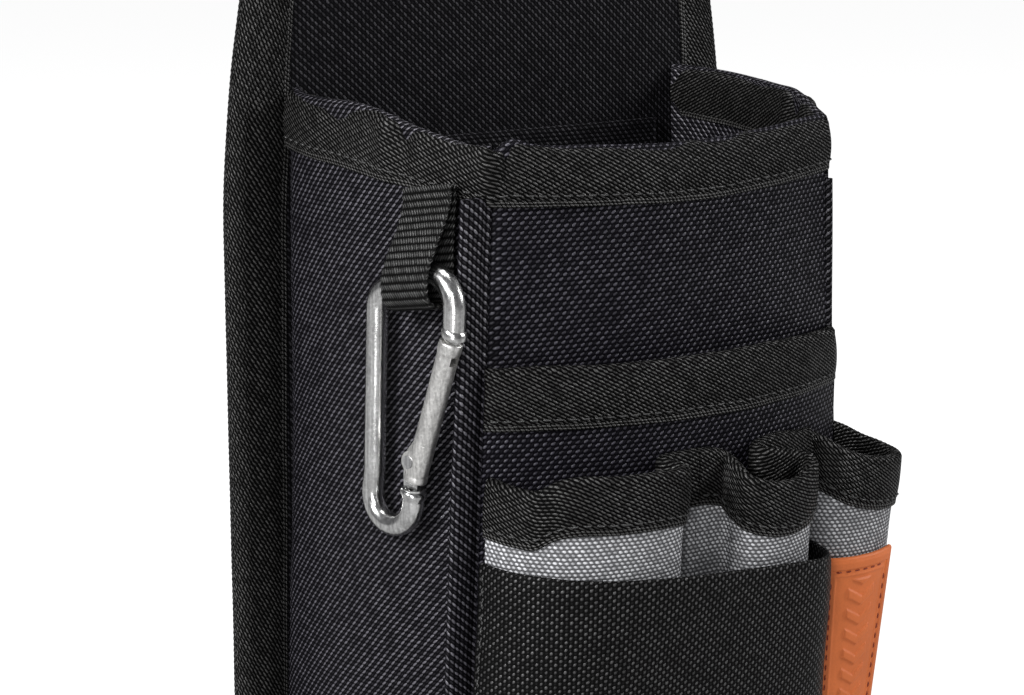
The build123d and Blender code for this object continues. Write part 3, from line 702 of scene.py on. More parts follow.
def build_gussets():
    pieces = []
    for side, name in ((-1, "gusset_left"), (1, "gusset_right")):
        low_left, _, low_right = pocket_plan(0.0, WALL / 2, WALL_STEP)
        high_left, _, high_right = pocket_plan(RIM_Z, WALL / 2, WALL_STEP)
        if side < 0:
            wall = Wall(low_left, 0.0, high_left, RIM_Z, gusset_relief(side))
            from_corner = wall.s[-1] - wall.s
            top = LEFT_RIM(from_corner) - UNDER_TAPE
        else:
            wall = Wall(low_right, 0.0, high_right, RIM_Z, gusset_relief(side))
            top = RIGHT_RIM(wall.s) - UNDER_TAPE
            wall.relief = lambda s, z, end=wall.s[-1]: gusset_relief(1)(end - s, z)
        bottom = base_z(wall.high_xy[:, 1]) + BASE_THICKNESS + 0.2
        piece = wall.cloth(name + "_cloth", WALL, bottom, top, WALL_ROWS, OXFORD)
        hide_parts(name)
        cut(piece)
        pieces.append(piece)
    return pieces


def front_relief(s, z):
    """The front panel: groove beside each corner seam and faint pull under the rim."""
    end = 2 * CORNER_HALF_AT_RIM + 1.4
    groove = -1.3 * (bump_at(s, 0.0, 1.6) + bump_at(s, end, 1.6))
    waves = 0.5 * ripple(s, z * 0.6, 21, 42.0)
    return groove + waves * np.clip((z - 20) / 60, 0, 1)


def build_front():
    _, low, _ = pocket_plan(0.0, WALL / 2, WALL_STEP)
    _, high, _ = pocket_plan(RIM_Z, WALL / 2, WALL_STEP)
    wall = Wall(low, 0.0, high, RIM_Z, front_relief)
    top = FRONT_RIM(wall.high_xy[:, 0]) - UNDER_TAPE
    piece = wall.cloth("front_panel_cloth", WALL, BASE_THICKNESS + 0.2, top, WALL_ROWS,
                       OXFORD_FRONT_SHADED)
    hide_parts("front_panel")
    cut(piece)
    return piece


def build_welt(side, node):
    """The pinched seam beside a front corner, as a thin fin with a rounded edge."""
    low, high = corners_mm(node)
    reach = high[0] - low[0] - CORNER_SPREAD * (high[2] - low[2])
    if side > 0:
        reach -= 1.8
    rows = np.linspace(low[2], high[2] + (3.0 if side < 0 else -1.0), 220)
    share = np.linspace(0, 1, 14)
    x = side * (corner_half(rows)[:, None] - 0.6 + (reach + 0.2) * share[None])
    y = FRONT_Y + WALL / 2 - 0.15 + 0.35 * ripple(rows, 0 * rows, 31 + side, 46.0)[:, None]
    y = y + 0.25 * share[None] ** 2
    z = np.repeat(rows[:, None], len(share), axis=1)
    lattice = np.stack([x, np.broadcast_to(y, x.shape), z], axis=2)
    fin = 2.5 - 0.9 * bump_at(share, 0.12, 0.16)
    piece, _ = shell(node + "_cloth", lattice, np.broadcast_to(fin, x.shape), OXFORD,
                     rows, share * reach, flip=side > 0)
    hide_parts(node)
    return piece


TAPE_STEP = 0.42                    # mesh spacing along a binding


def build_rim():
    """Binding over the rim, from the back seam on the left round to the back seam on the right."""
    low_z = 100.0
    parts_low = pocket_plan(low_z, WALL / 2, TAPE_STEP)
    parts_high = pocket_plan(RIM_Z, WALL / 2, TAPE_STEP)
    low, high = np.vstack(parts_low), np.vstack(parts_high)
    n_left, n_front = len(parts_high[0]), len(parts_high[1])

    def round_corners(points):
        kernel = np.hanning(11)
        kernel /= kernel.sum()
        padded = np.pad(points, ((5, 5), (0, 0)), mode="edge")
        smooth = np.stack([np.convolve(padded[:, k], kernel, "valid") for k in (0, 1)], axis=1)
        keep = 8
        smooth[:keep], smooth[-keep:] = points[:keep], points[-keep:]
        return smooth

    low, high = round_corners(low), round_corners(high)
    s = along(high)
    left_corner, right_corner = s[n_left], s[n_left + n_front]
    x = high[:, 0]
    kernel = np.hanning(7) / np.hanning(7).sum()

    def joined(left, front, right):
        values = np.where(s < left_corner, left(left_corner - s),
                          np.where(s > right_corner, right(s - right_corner), front(x)))
        return np.convolve(np.pad(values, 3, mode="edge"), kernel, "valid")

    top = joined(LEFT_RIM, FRONT_RIM, RIGHT_RIM) + 0.35 * ripple(s, 0 * s, 41, 17.0)
    foot = joined(LEFT_TAPE_FOOT, FRONT_TAPE_FOOT, RIGHT_TAPE_FOOT)

    def relief(place, z):
        """Puckers: a fold on the left gusset, a pinch at the left corner and one on the right."""
        waves = 0.22 * ripple(place, z, 42, 16.0)
        near_top = np.clip((z - 160) / 14, 0, 1)
        puckers = 0.0
        for size, corner, beyond, width in (
                (1.5, left_corner, -27, 3.0), (-1.2, left_corner, -21.5, 2.4),
                (-1.5, left_corner, 2.6, 1.5), (0.9, left_corner, -1.5, 2.5),
                (1.0, right_corner, 13, 3.0), (-1.0, right_corner, 18, 2.5),
                (-0.9, left_corner, -42, 9.0)):
            puckers = puckers + size * bump_at(place, corner + beyond, width)
        return waves + puckers * near_top

    wall = Wall(low, low_z, high, RIM_Z, relief)
    piece, face, t = wall.tape("rim_binding_tape", WALL / 2, top, top - foot, BINDING, 34, 0.5)
    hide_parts("rim_binding")
    cut(piece)
    sew_tape(face, t)
    return piece


def build_base():
    """Base cloth under the pocket, rising to the back panel."""
    depth = np.concatenate([np.linspace(FRONT_Y - FRONT_BULGE + 0.2, FRONT_Y, 12),
                            np.linspace(FRONT_Y, BACK_Y, 70)[1:]])
    share = np.linspace(-1, 1, 110)

    def half_width(y):
        w, root = corner_half(0.0), root_half(0.0)
        along_side = np.clip((y - FRONT_Y) / (BACK_Y - FRONT_Y), 0, 1)
        bulge = 4 * along_side * (1 - along_side) * GUSSET_BULGE
        straight = w + (root - w) * along_side + bulge
        front = w * np.sqrt(np.clip((y - (FRONT_Y - FRONT_BULGE)) / FRONT_BULGE, 0, 1))
        return np.where(y < FRONT_Y, front, straight)

    x = half_width(depth)[:, None] * share[None]
    y = np.repeat(depth[:, None], len(share), axis=1)
    z = base_z(y) + BASE_THICKNESS / 2 + 0.15 * ripple(x, y, 51, 30.0) * (y > RAMP_START_Y)
    lattice = np.stack([x, y, z], axis=2)
    piece, _ = shell("bottom_panel_cloth", lattice, BASE_THICKNESS - 0.2, OXFORD,
                     depth - depth[0], x)
    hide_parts("bottom_panel")
    return piece


# ---------------------------------------------------------------- back panel
def rounded_outline(corners, step):
    """Closed outline from corners (x, z, radius), as evenly spaced points."""
    points = []
    count = len(corners)
    for k in range(count):
        before, here, after = corners[k - 1], corners[k], corners[(k + 1) % count]
        p, q = np.array(here[:2], float), here[2]
        a = np.array(before[:2]) - p
        b = np.array(after[:2]) - p
        a, b = a / np.linalg.norm(a), b / np.linalg.norm(b)
        half = math.acos(np.clip(a @ b, -1, 1)) / 2
        tangent = q / math.tan(half)
        centre = p + (a + b) / np.linalg.norm(a + b) * (q / math.sin(half))
        start, end = p + a * tangent - centre, p + b * tangent - centre
        angles = np.unwrap([math.atan2(start[1], start[0]), math.atan2(end[1], end[0])])
        for angle in np.linspace(angles[0], angles[1], 40):
            points.append(centre + q * np.array([math.cos(angle), math.sin(angle)]))
    points = np.array(points)
    closed = np.vstack([points, points[:1]])
    return even(closed, int(along(closed)[-1] / step) + 1)[:-1]


def panel_corners():
    slope = math.tan(TAPER_ANGLE)
    top_half = PANEL_HALF - (PANEL_TOP - TAPER_CORNER_Z) * slope
    right = [(PANEL_HALF, 0.0, 14.0), (PANEL_HALF, TAPER_CORNER_Z, 300.0),
             (top_half, PANEL_TOP, 30.0)]
    left = [(-x, z, r) for x, z, r in reversed(right)]
    return right + left


def panel_half_width(z, inset):
    """Half width of the back panel at height z, less an inset."""
    outline = rounded_outline(panel_corners(), 0.5)
    right = outline[outline[:, 0] > 0]
    order = np.argsort(right[:, 1])
    half = np.interp(z, right[order, 1], right[order, 0])
    return half - inset


def build_panel_face(name, node, y, thickness, crown, material, inset=1.4, seed=61):
    """One layer of the back panel, slightly crowned by its padding."""
    z = np.linspace(inset, PANEL_TOP - inset, 240)
    share = np.linspace(-1, 1, 150)
    half = panel_half_width(z, inset)
    x = half[:, None] * share[None]
    zz = np.repeat(z[:, None], len(share), axis=1)
    edge = (1 - share[None] ** 6) * np.clip((z - inset) / 25, 0, 1)[:, None] ** 0.5
    edge = edge * np.clip((PANEL_TOP - inset - z) / 25, 0, 1)[:, None] ** 0.5
    swell = crown * edge * (1 + 0.25 * ripple(x, zz, seed, 70.0))
    lattice = np.stack([x, y + swell, zz], axis=2)
    piece, _ = shell(name, lattice, thickness, material, z, x, flip=crown > 0)
    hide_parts(node)
    if node == "back_foam_pad":
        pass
    else:
        cut(piece)
    return piece


# Width of the tape inside the panel; beside the pocket it reaches the side seam.
FRONT_LEAF = table([(0, 11.0), (32, 11.4), (100, 12.8), (150, 13.6), (170, 13.6), (186, 12.2),
                    (201, 11.0), (282, 11.0)])


def build_back_binding():
    """Tape folded over the panel's edge all the way round."""
    outline = rounded_outline(panel_corners(), 0.5)
    run = np.roll(outline, -1, axis=0) - np.roll(outline, 1, axis=0)
    run /= np.linalg.norm(run, axis=1, keepdims=True)
    outward = np.stack([run[:, 1], -run[:, 0]], axis=1)
    if np.mean(np.sum(outward * (outline - outline.mean(axis=0)), axis=1)) < 0:
        outward = -outward
    closed = np.vstack([outline, outline[:1]])
    s = along(closed)[:-1]
    front_y, back_y = BACK_Y - TAPE / 2, PANEL_BACK_Y + TAPE / 2
    middle_y, radius = (front_y + back_y) / 2, (back_y - front_y) / 2
    leaf = np.linspace(0, 1, 20)
    turn = np.linspace(-math.pi / 2, math.pi / 2, 15)[1:-1]
    flat = FLANGE - radius * 0.8
    inset = np.concatenate([FLANGE - flat * leaf, radius * 0.8 * (1 - np.cos(turn)),
                            (FLANGE - flat * leaf)[::-1]])
    reach = FRONT_LEAF(outline[:, 1]) * (np.abs(outline[:, 0]) > PANEL_HALF - 22)
    extra = np.maximum(reach - FLANGE, 0)[:, None] * np.concatenate(
        [1 - leaf, 0 * turn, 0 * leaf])[None]
    inset = inset[None] + extra
    puff = 0.55 * np.sin(np.pi * np.clip(leaf * 1.1 - 0.08, 0, 1))
    y = np.concatenate([front_y - puff, middle_y + radius * np.sin(turn),
                        (back_y + puff)[::-1]])
    weave = 0.08 * np.cos(2 * np.pi * s / 1.5)[:, None] * np.concatenate(
        [0 * leaf, np.ones(len(turn)), 0 * leaf])[None]
    waves = 0.22 * ripple(s[:, None], inset, 71, 22.0) * bump_at(inset, 5.0, 6.0)
    edge = outline[:, None] - outward[:, None] * (inset[..., None] - weave[..., None] + 0.12)
    side = np.sign(y - middle_y)[None] * waves
    lattice = np.stack([edge[..., 0], y[None] + side, edge[..., 1]], axis=2)
    leaf_t = flat * leaf
    over_t = flat + radius * (math.pi / 2 - np.abs(turn))
    t = np.concatenate([leaf_t, over_t, leaf_t[::-1]])
    piece, face = shell("back_binding_tape", lattice, TAPE, BINDING, s, t, closed=True)
    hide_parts("back_binding")
    cut(piece)
    for column in (4, lattice.shape[1] - 5):
        path = np.vstack([face[:, column], face[:1, column]])
        out = np.zeros_like(path)
        out[:, 1] = -1.0 if column < 10 else 1.0
        seams.extend(stitch_row(path, out))
    return piece


def build_slip_pocket():
    """Flat inner pocket on the back panel, with a hemmed top."""
    x = np.linspace(SLIP_LOW[0], SLIP_HIGH[0], 130)
    z = np.linspace(SLIP_LOW[2], SLIP_HIGH[2], 120)
    xx, zz = np.meshgrid(x, z, indexing="ij")
    hem = 0.35 * (zz > SLIP_HIGH[2] - 9.0)
    sag = 0.5 * np.cos(xx / SLIP_HIGH[0] * math.pi / 2)
    y = (SLIP_LOW[1] + SLIP_HIGH[1]) / 2 - 0.6 - hem - sag
    lattice = np.stack([xx, y, zz], axis=2)
    # The slip pocket takes the darker oxford, whose darkness is painted shade.
    piece, face = shell("inner_slip_pocket_cloth", lattice, 0.9, OXFORD_INSIDE_SHADED, x, z)
    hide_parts("inner_slip_pocket")
    cut(piece)
    row = int(np.argmin(np.abs(z - (SLIP_HIGH[2] - 8.0))))
    out = np.tile([0.0, -1.0, 0.0], (len(x), 1))
    seams.extend(stitch_row(face[:, row], out))
    return piece


# ---------------------------------------------------------------- second pocket
POCKET_BULGES = ((2.0, 9.2), (20.0, 13.4), (POCKET_TOP, 14.6))


def pocket_bulge(z):
    return np.interp(z, *np.array(POCKET_BULGES).T)


def pocket_line(z, count, inset):
    """Plan of the second pocket's wall at height z."""
    bulge = pocket_bulge(z)
    w = corner_half(z)
    y_end = FRONT_Y - 0.1 - CLOTH + inset
    return arc((-w, y_end), (0, FRONT_Y - bulge + inset), (w, y_end), count)


def pocket_y(x, z):
    """Outer face of the second pocket."""
    bulge = pocket_bulge(z)
    edge = CLOTH + 0.1
    half = corner_half(z)
    rise = bulge - edge
    radius = (half ** 2 + rise ** 2) / (2 * rise)
    near = np.minimum(np.abs(x), half)
    return FRONT_Y - edge - (np.sqrt(radius ** 2 - near ** 2) - (radius - rise))


POCKET_RIM = table([(-52, 123.6), (-40, 123.9), (-25, 123.4), (0, 123.0), (20, 122.8), (38, 122.0),
                    (52, 121.4)])
POCKET_TAPE_FOOT = table([(-52, 110.6), (-25, 109.9), (0, 109.3), (25, 109.0), (52, 108.6)])


def build_pocket():
    count, low_z = 230, POCKET_BULGES[1][0]
    wall = Wall(pocket_line(low_z, count, CLOTH / 2), low_z,
                pocket_line(POCKET_TOP, count, CLOTH / 2), POCKET_TOP,
                lambda s, z: 0.3 * ripple(s, z, 81, 34.0) * np.clip((z - 30) / 50, 0, 1))
    x = wall.high_xy[:, 0]
    top = POCKET_RIM(x)
    share = np.linspace(0, 1, 120)
    z = 2.0 + (top - 1.0 - 2.0)[:, None] * share[None]
    lattice = wall.at(z)
    close_in = (pocket_bulge(z) - POCKET_BULGES[1][1]) * (z < low_z)
    lattice[..., 1] -= close_in * (1 - (x / x.max()) ** 2)[:, None]
    piece, _ = shell("front_pocket_cloth", lattice, CLOTH, OXFORD_FRONT_SHADED, wall.s, z)
    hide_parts("front_pocket")
    cut(piece)
    fine, rim_low = 460, 90.0
    rim = Wall(pocket_line(rim_low, fine, CLOTH / 2), rim_low,
               pocket_line(POCKET_TOP, fine, CLOTH / 2), POCKET_TOP,
               lambda s, z: 0.18 * ripple(s, z, 82, 15.0)
               - 0.7 * bump_at(s, 0.0, 2.0) - 0.7 * bump_at(s, 108.0, 2.0))
    x = rim.high_xy[:, 0]
    top = POCKET_RIM(x) + 0.2 * ripple(rim.s, 0 * rim.s, 83, 19.0)
    tape, face, t = rim.tape("front_pocket_binding_tape", CLOTH / 2, top, top - POCKET_TAPE_FOOT(x),
                             BINDING, 30, 0.5)
    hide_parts("front_pocket_binding")
    cut(tape)
    sew_tape(face, t)
    return piece, tape


# ---------------------------------------------------------------- tool loops
# Plan of the pleated strip at its top: (x, stand-off from the second pocket), left to right.
STRIP = {
    "left": [(-51.6, 0.4), (-50.6, 6.5), (-47.2, 11.6), (-40.0, 15.2), (-28.0, 15.3), (-18.5, 13.0),
             (-13.4, 10.0), (-12.4, 6.6), (-14.4, 3.6), (-12.6, 1.9), (-8.0, 1.7), (-4.0, 1.7)],
    "middle": [(-4.0, 1.7), (2.2, 1.7), (4.2, 2.4), (4.7, 4.6), (4.4, 8.0), (4.6, 11.4),
               (8.0, 14.2),
               (15.0, 15.0), (23.0, 13.6), (26.4, 10.4), (24.6, 7.2), (19.5, 6.3), (14.8, 5.6),
               (13.2, 3.8), (15.4, 2.0), (21.0, 1.7), (28.0, 1.7), (35.5, 1.7)],
}
RIGHT_LOOP_TOP = [(35.5, -42.2), (39.0, -43.6), (42.2, -47.4), (48.0, -50.2), (56.0, -50.4),
                  (63.6, -47.0), (67.2, -41.6), (66.0, -36.6), (61.6, -34.0), (57.0, -33.0),
                  (53.6, -32.7)]
RIGHT_LOOP_FOOT = [(35.5, -41.0), (39.0, -41.4), (43.0, -42.4), (48.0, -42.0), (56.0, -40.4),
                   (62.0, -38.6), (64.8, -36.2), (64.6, -34.4), (62.6, -33.2), (59.0, -32.6),
                   (56.4, -32.5)]
LOOP_TOPS = {
    "left": table([(0, 99.6), (9, 98.8), (13, 98.6), (18, 101.2), (32, 101.9), (47, 101.4),
                   (54, 100.6), (60, 101.6), (70, 102.0)]),
    "middle": table([(0, 102.0), (6, 101.2), (12, 98.6), (17, 96.4), (24, 94.6), (33, 94.6),
                     (40, 96.4), (46, 97.8), (52, 99.0), (58, 100.4), (66, 101.4), (80, 100.2)]),
    "right": table([(0, 99.6), (6, 97.2), (12, 94.0), (20, 91.6), (30, 90.4), (40, 90.2),
                    (46, 92.0), (54, 96.0), (62, 98.6), (72, 99.6)]),
}
FOOT_STAND_OFF = 1.2
FOOT_SHARE = 0.30


def strip_line(name, level, count):
    """Plan of one stretch of the strip, at its top (level 1) or at its foot (level 0)."""
    if name == "right":
        return smooth_path(RIGHT_LOOP_TOP if level else RIGHT_LOOP_FOOT, count)
    z = LOOP_TOP_Z if level else LOOP_FOOT_Z
    points = []
    for x, off in STRIP[name]:
        spread = corner_half(z) / corner_half(LOOP_TOP_Z)
        depth = off if level else FOOT_STAND_OFF + FOOT_SHARE * (off - 1.6)
        points.append((x * spread, float(pocket_y(x * spread, max(z, 20.0))) - depth))
    return smooth_path(points, count)


def build_loop(name, seed):
    length = along(strip_line(name, 1, 400))[-1]
    count = int(length / TAPE_STEP)
    low, high = strip_line(name, 0, count), strip_line(name, 1, count)
    wall = Wall(low, LOOP_FOOT_Z, high, LOOP_TOP_Z)
    top = LOOP_TOPS[name](wall.s)
    wall.relief = lambda s, z: 0.12 * ripple(s, z, seed, 14.0)
    grey = wall.cloth(f"tool_loop_{name}_cloth", CLOTH, LOOP_FOOT_Z, top - 1.0, 110, GREY)
    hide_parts(f"tool_loop_{name}")
    cut(grey)
    tape, face, t = wall.tape(f"loop_binding_{name}_tape", CLOTH / 2, top, 12.6, BINDING, 28, 0.3)
    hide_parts(f"loop_binding_{name}")
    cut(tape)
    sew_tape(face, t, 2.2)
    return grey, tape


# ---------------------------------------------------------------- band and label
BAND_PATH = [(-53.2, 1.2), (-52.8, 9.0), (-49.0, 14.6), (-42.0, 17.6), (-30.0, 18.6), (-17.0, 17.8),
             (0.0, 16.9), (14.0, 17.6), (24.0, 17.8), (30.0, 15.8), (33.8, 11.6), (35.6, 7.0),
             (36.6, 4.0), (36.6, 2.2)]
BAND_TOP = table([(-54, 80.6), (-40, 79.0), (-13, 77.0), (4, 75.6), (20, 74.2), (30, 72.8),
                  (38, 71.6)])
BAND_WIDTH = 50.0
BAND_LOW_SHARE, BAND_HIGH_SHARE = 0.65, 0.98     # of BAND_PATH's stand-off, low and high


def build_band():
    """Wide webbing across the loops, sewn down at both ends."""
    count, low_z, high_z = 420, 24.0, 90.0

    def line(z, factor):
        spread = corner_half(z) / corner_half(LOOP_TOP_Z)
        points = [(x * spread, float(pocket_y(x * spread, z)) - max(off * factor, 1.2))
                  for x, off in BAND_PATH]
        return smooth_path(points, count)

    wall = Wall(line(low_z, BAND_LOW_SHARE), low_z, line(high_z, BAND_HIGH_SHARE), high_z,
                lambda s, z: 0.25 * ripple(s, z, 91, 30.0))
    top = BAND_TOP(wall.high_xy[:, 0])
    share = np.linspace(0, 1, 120)
    z = (top - BAND_WIDTH)[:, None] + BAND_WIDTH * share[None]
    thick = 1.5 - 0.5 * (bump_at(share, 0, 0.02) + bump_at(share, 1, 0.02))
    piece, face = shell("front_band_webbing", wall.at(z), np.broadcast_to(thick, z.shape), WEBBING,
                        wall.s, z)
    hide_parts("front_band")
    cut(piece)
    for column in (6, count - 8):
        seams.extend(stitch_row(face[column], outward_of(face)[column]))
    return piece


CHEVRON_PITCH = 5.2


def build_label():
    """Moulded patch: raised border and raised chevrons, a generic motif, sewn on inside it."""
    rows, columns = 330, 150
    width, height = 24.0, LABEL_HIGH[2] - LABEL_LOW[2]
    z_line = np.linspace(LABEL_LOW[2], LABEL_HIGH[2], rows)
    count = 400
    loop = Wall(strip_line("right", 0, count), LOOP_FOOT_Z, strip_line("right", 1, count),
                LOOP_TOP_Z)
    from_loop_start = 6.2
    places = from_loop_start + np.linspace(0, width, columns)
    full = loop.at(np.repeat(z_line[None], count, axis=0), CLOTH / 2 + 1.25)
    lattice = np.empty((columns, rows, 3))
    for k in range(3):
        for r in range(rows):
            lattice[:, r, k] = np.interp(places, loop.s, full[:, r, k])
    a = np.linspace(0, width, columns)[:, None]
    b = np.linspace(0, height, rows)[None]
    edge = np.minimum(np.minimum(a, width - a), np.minimum(b, height - b))

    def step(x, at, soft=0.25):
        return 1 / (1 + np.exp(-np.clip((x - at) / soft * 4, -40, 40)))

    border = 1 - step(edge, 2.4)
    bead = bump_at(edge, 3.9, 0.35)
    inside = step(edge, 5.2)
    beside = np.abs(a - width / 2)
    phase = (b - height / 2 - 0.55 * beside) * 2 * math.pi / CHEVRON_PITCH
    chevron = step(np.cos(phase), 0.15, 0.5)
    motif = inside * chevron * step(4.4 - beside, 0)
    raised = 0.75 * border + 0.4 * bead + 0.95 * motif
    rolled = -0.5 * bump_at(edge, 0, 0.5)
    piece, face = shell("label_patch_rubber", lattice, 1.1 + raised + rolled, LABEL,
                        places, z_line)
    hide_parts("label_patch")
    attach(piece, "pouch")
    sewn_in = 3.1
    p, q = int(columns * sewn_in / width), int(rows * sewn_in / height)
    out = outward_of(face)
    rings = []
    for place in ((p, slice(q, -q)), (-p, slice(q, -q)), (slice(p, -p), q), (slice(p, -p), -q)):
        rings.extend(stitch_row(face[place], out[place], 2.6, 1.7, 0.2, 0.1))
    stitch_object("label_stitches", rings, LABEL_THREAD)
    return piece


# ---------------------------------------------------------------- tab and belt tunnel
def joint(name):
    return next(j for j in frame["joints"] if j["name"] == name)


# The plane in which the carabiner hangs, beside the left gusset.
HANG_Z = np.array(joint("gate_turn")["axis"])       # out of the gusset
HANG_X = np.array([0.154153, -0.988047, 0.0])       # towards the front
HANG_Y = np.cross(HANG_Z, HANG_X)                   # up
HANG_ORIGIN = np.array([-CORNER_HALF_AT_RIM, FRONT_Y, RIM_Z])
HANG_OFFSET = 9.0
TAB_WIDTH = 15.0
TAB_LEAN = math.radians(9.6)
TAB_LENGTH = 20.0                   # from the seam to the fold


def build_tab_mesh():
    """Webbing folded through the carabiner. It bends at its seam; here it is one fixed mesh,
    not blended across the joint."""
    across = HANG_X * math.cos(TAB_LEAN) + HANG_Y * math.sin(TAB_LEAN)
    down = -(HANG_Y * math.cos(TAB_LEAN) - HANG_X * math.sin(TAB_LEAN))
    seam = np.array(joint("tab_swing")["pos_m"]) / MM
    seam_level = 6.35
    # The webbing seen from the side: (distance down, distance out), back layer to front.
    fold = [(-4.0, 4.6), (0.0, 4.9), (4.0, 5.3), (10.0, 5.6), (16.0, 5.5), (20.0, 5.6), (21.7, 7.0),
            (22.1, 9.2), (21.6, 11.6), (20.2, 12.9), (17.8, 13.3), (14.5, 13.1), (10.0, 11.1),
            (5.0, 8.4), (1.6, 6.9), (-1.0, 6.2), (-4.0, 5.8)]
    line = smooth_path(fold, 190)
    s = along(line)
    share = np.linspace(-0.5, 0.5, 46)
    # It hangs aslant and narrows a little: its sewn end stands nearer the front than its fold.
    above_fold = 1 - np.clip(line[:, 0] / TAB_LENGTH, 0, 1)
    aslant = 2.6 * above_fold
    width = TAB_WIDTH * (0.94 + 0.06 * above_fold)
    lattice = (seam + down * line[:, :1, None] + HANG_Z * (line[:, 1:2, None] - seam_level)
               + across * (aslant[:, None] + width[:, None] * share[None])[:, :, None])
    rib = 0.22 * np.cos(2 * np.pi * s / TAB_RIB + np.pi)[:, None]
    thick = 1.15 + rib - 0.45 * (bump_at(share, -0.5, 0.03) + bump_at(share, 0.5, 0.03))[None]
    piece, _ = shell("carabiner_tab_webbing", lattice, thick, TAB_WEBBING, s, share * TAB_WIDTH)
    # Its ribs cross the webbing, so the weave's two directions change places.
    layer = piece.data.uv_layers["mm"].data
    uv = np.zeros(len(layer) * 2, np.float32)
    layer.foreach_get("uv", uv)
    layer.foreach_set("uv", np.ascontiguousarray(uv.reshape(-1, 2)[:, ::-1]).ravel())
    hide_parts("carabiner_tab")
    cut(piece)
    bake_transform(piece)
    return piece


def build_tunnel():
    """Wide webbing tunnel on the back for a belt."""
    y_panel = PANEL_BACK_Y
    gap = TUNNEL_HIGH[1] - y_panel - 1.6
    low, high = TUNNEL_LOW[2], TUNNEL_HIGH[2]
    profile = [(low, 0.9), (low + 4, 0.9), (low + 7.5, 1.2), (low + 11, 3.6), (low + 15, gap + 0.6),
               (low + 20, gap + 0.9), ((low + high) / 2, gap + 0.9), (high - 20, gap + 0.9),
               (high - 15, gap + 0.6), (high - 11, 3.6), (high - 7.5, 1.2), (high - 4, 0.9),
               (high, 0.9)]
    line = smooth_path(profile, 170)
    t = along(line)
    x = np.linspace(TUNNEL_LOW[0], TUNNEL_HIGH[0], 150)
    lattice = np.empty((len(x), len(line), 3))
    lattice[..., 0] = x[:, None]
    lattice[..., 1] = (y_panel + line[None, :, 1]
                       + 0.25 * ripple(x[:, None], line[None, :, 0], 95, 40.0))
    lattice[..., 2] = line[None, :, 0]
    edge = np.abs(x) / np.abs(x).max()
    thick = (1.5 - 0.5 * bump_at(edge, 1.0, 0.015))[:, None]
    piece, face = shell("belt_tunnel_webbing", lattice, np.broadcast_to(thick, lattice.shape[:2]),
                        WEBBING, x - x[0], t, flip=True)
    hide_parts("belt_tunnel")
    cut(piece)
    for column in (10, 22, len(line) - 23, len(line) - 11):
        out = np.tile([0.0, 1.0, 0.0], (len(x), 1))
        seams.extend(stitch_row(face[:, column], out))
    return piece


def build_bartacks():
    """Four dense zigzag tacks at the tunnel's corners."""
    rings = []
    low, high = corners_mm("belt_tunnel_bartacks")
    for x in (low[0] + 6.0, high[0] - 6.0):
        for z in (low[2] + 1.2, high[2] - 1.2):
            for place in x + np.linspace(-5.6, 5.6, 22):
                path = np.linspace([place, high[1] - 0.35, z - 1.25],
                                   [place + 0.3, high[1] - 0.35, z + 1.25], 12)
                out = np.tile([0.0, 1.0, 0.0], (12, 1))
                rings.extend(stitch_row(path, out, 1.2, 2.3, 0.26, 0.14)[:1])
    tacks = stitch_object("belt_tunnel_bartack_thread", rings, THREAD)
    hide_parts("belt_tunnel_bartacks")
    return tacks


# ---------------------------------------------------------------- carabiner
def dress_carabiner():
    # The gate takes the lighter aluminium, whose extra lightness is painted light.
    for node, material in (("carabiner_body", ALUMINIUM), ("carabiner_gate", GATE_ALUMINIUM_LIT),
                           ("carabiner_rivet", STEEL), ("gate_plunger", STEEL),
                           ("gate_spring", STEEL), ("back_stiffener", BOARD)):
        obj = frame["nodes"][node]
        obj.data.materials.clear()
        obj.data.materials.append(material)


def hung(x, y):
    """Point in the carabiner's own plane: x towards the front, y up."""
    return HANG_ORIGIN + HANG_X * x + HANG_Y * y + HANG_Z * HANG_OFFSET


def sleeve(name, body, start, end, stations, slant=0.0):
    """Metal sleeve round the wire. stations are (distance, shift inwards, half width, half
    depth)."""
    start, end = hung(*start), hung(*end)
    axis = (end - start) / np.linalg.norm(end - start)
    across = np.cross(HANG_Z, axis)
    rows = smooth_path(stations, 40)
    turn = np.linspace(0, 2 * math.pi, 48, endpoint=False)
    c, d = np.cos(turn)[None], np.sin(turn)[None]
    along_axis = rows[:, :1] + slant * c * rows[:, 2:3]
    rings = (start + axis * along_axis[..., None]
             + across * (rows[:, 1:2] + rows[:, 2:3] * c)[..., None]
             + HANG_Z * (rows[:, 3:4] * d)[..., None])
    lap = np.concatenate([turn, [2 * math.pi]]) * 2.5
    uv = np.stack(np.broadcast_arrays(rows[:, :1], lap[None]), axis=2)
    quads, corner_uv = rings_to_quads(rings[:, ::-1], uv, False)
    # Sleeves on the gate take the gate's lighter aluminium, whose extra lightness is painted light.
    piece = make_object(name, rings[:, ::-1].reshape(-1, 3), quads, corner_uv,
                        GATE_ALUMINIUM_LIT if body == "gate" else ALUMINIUM)
    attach(piece, body)
    return piece


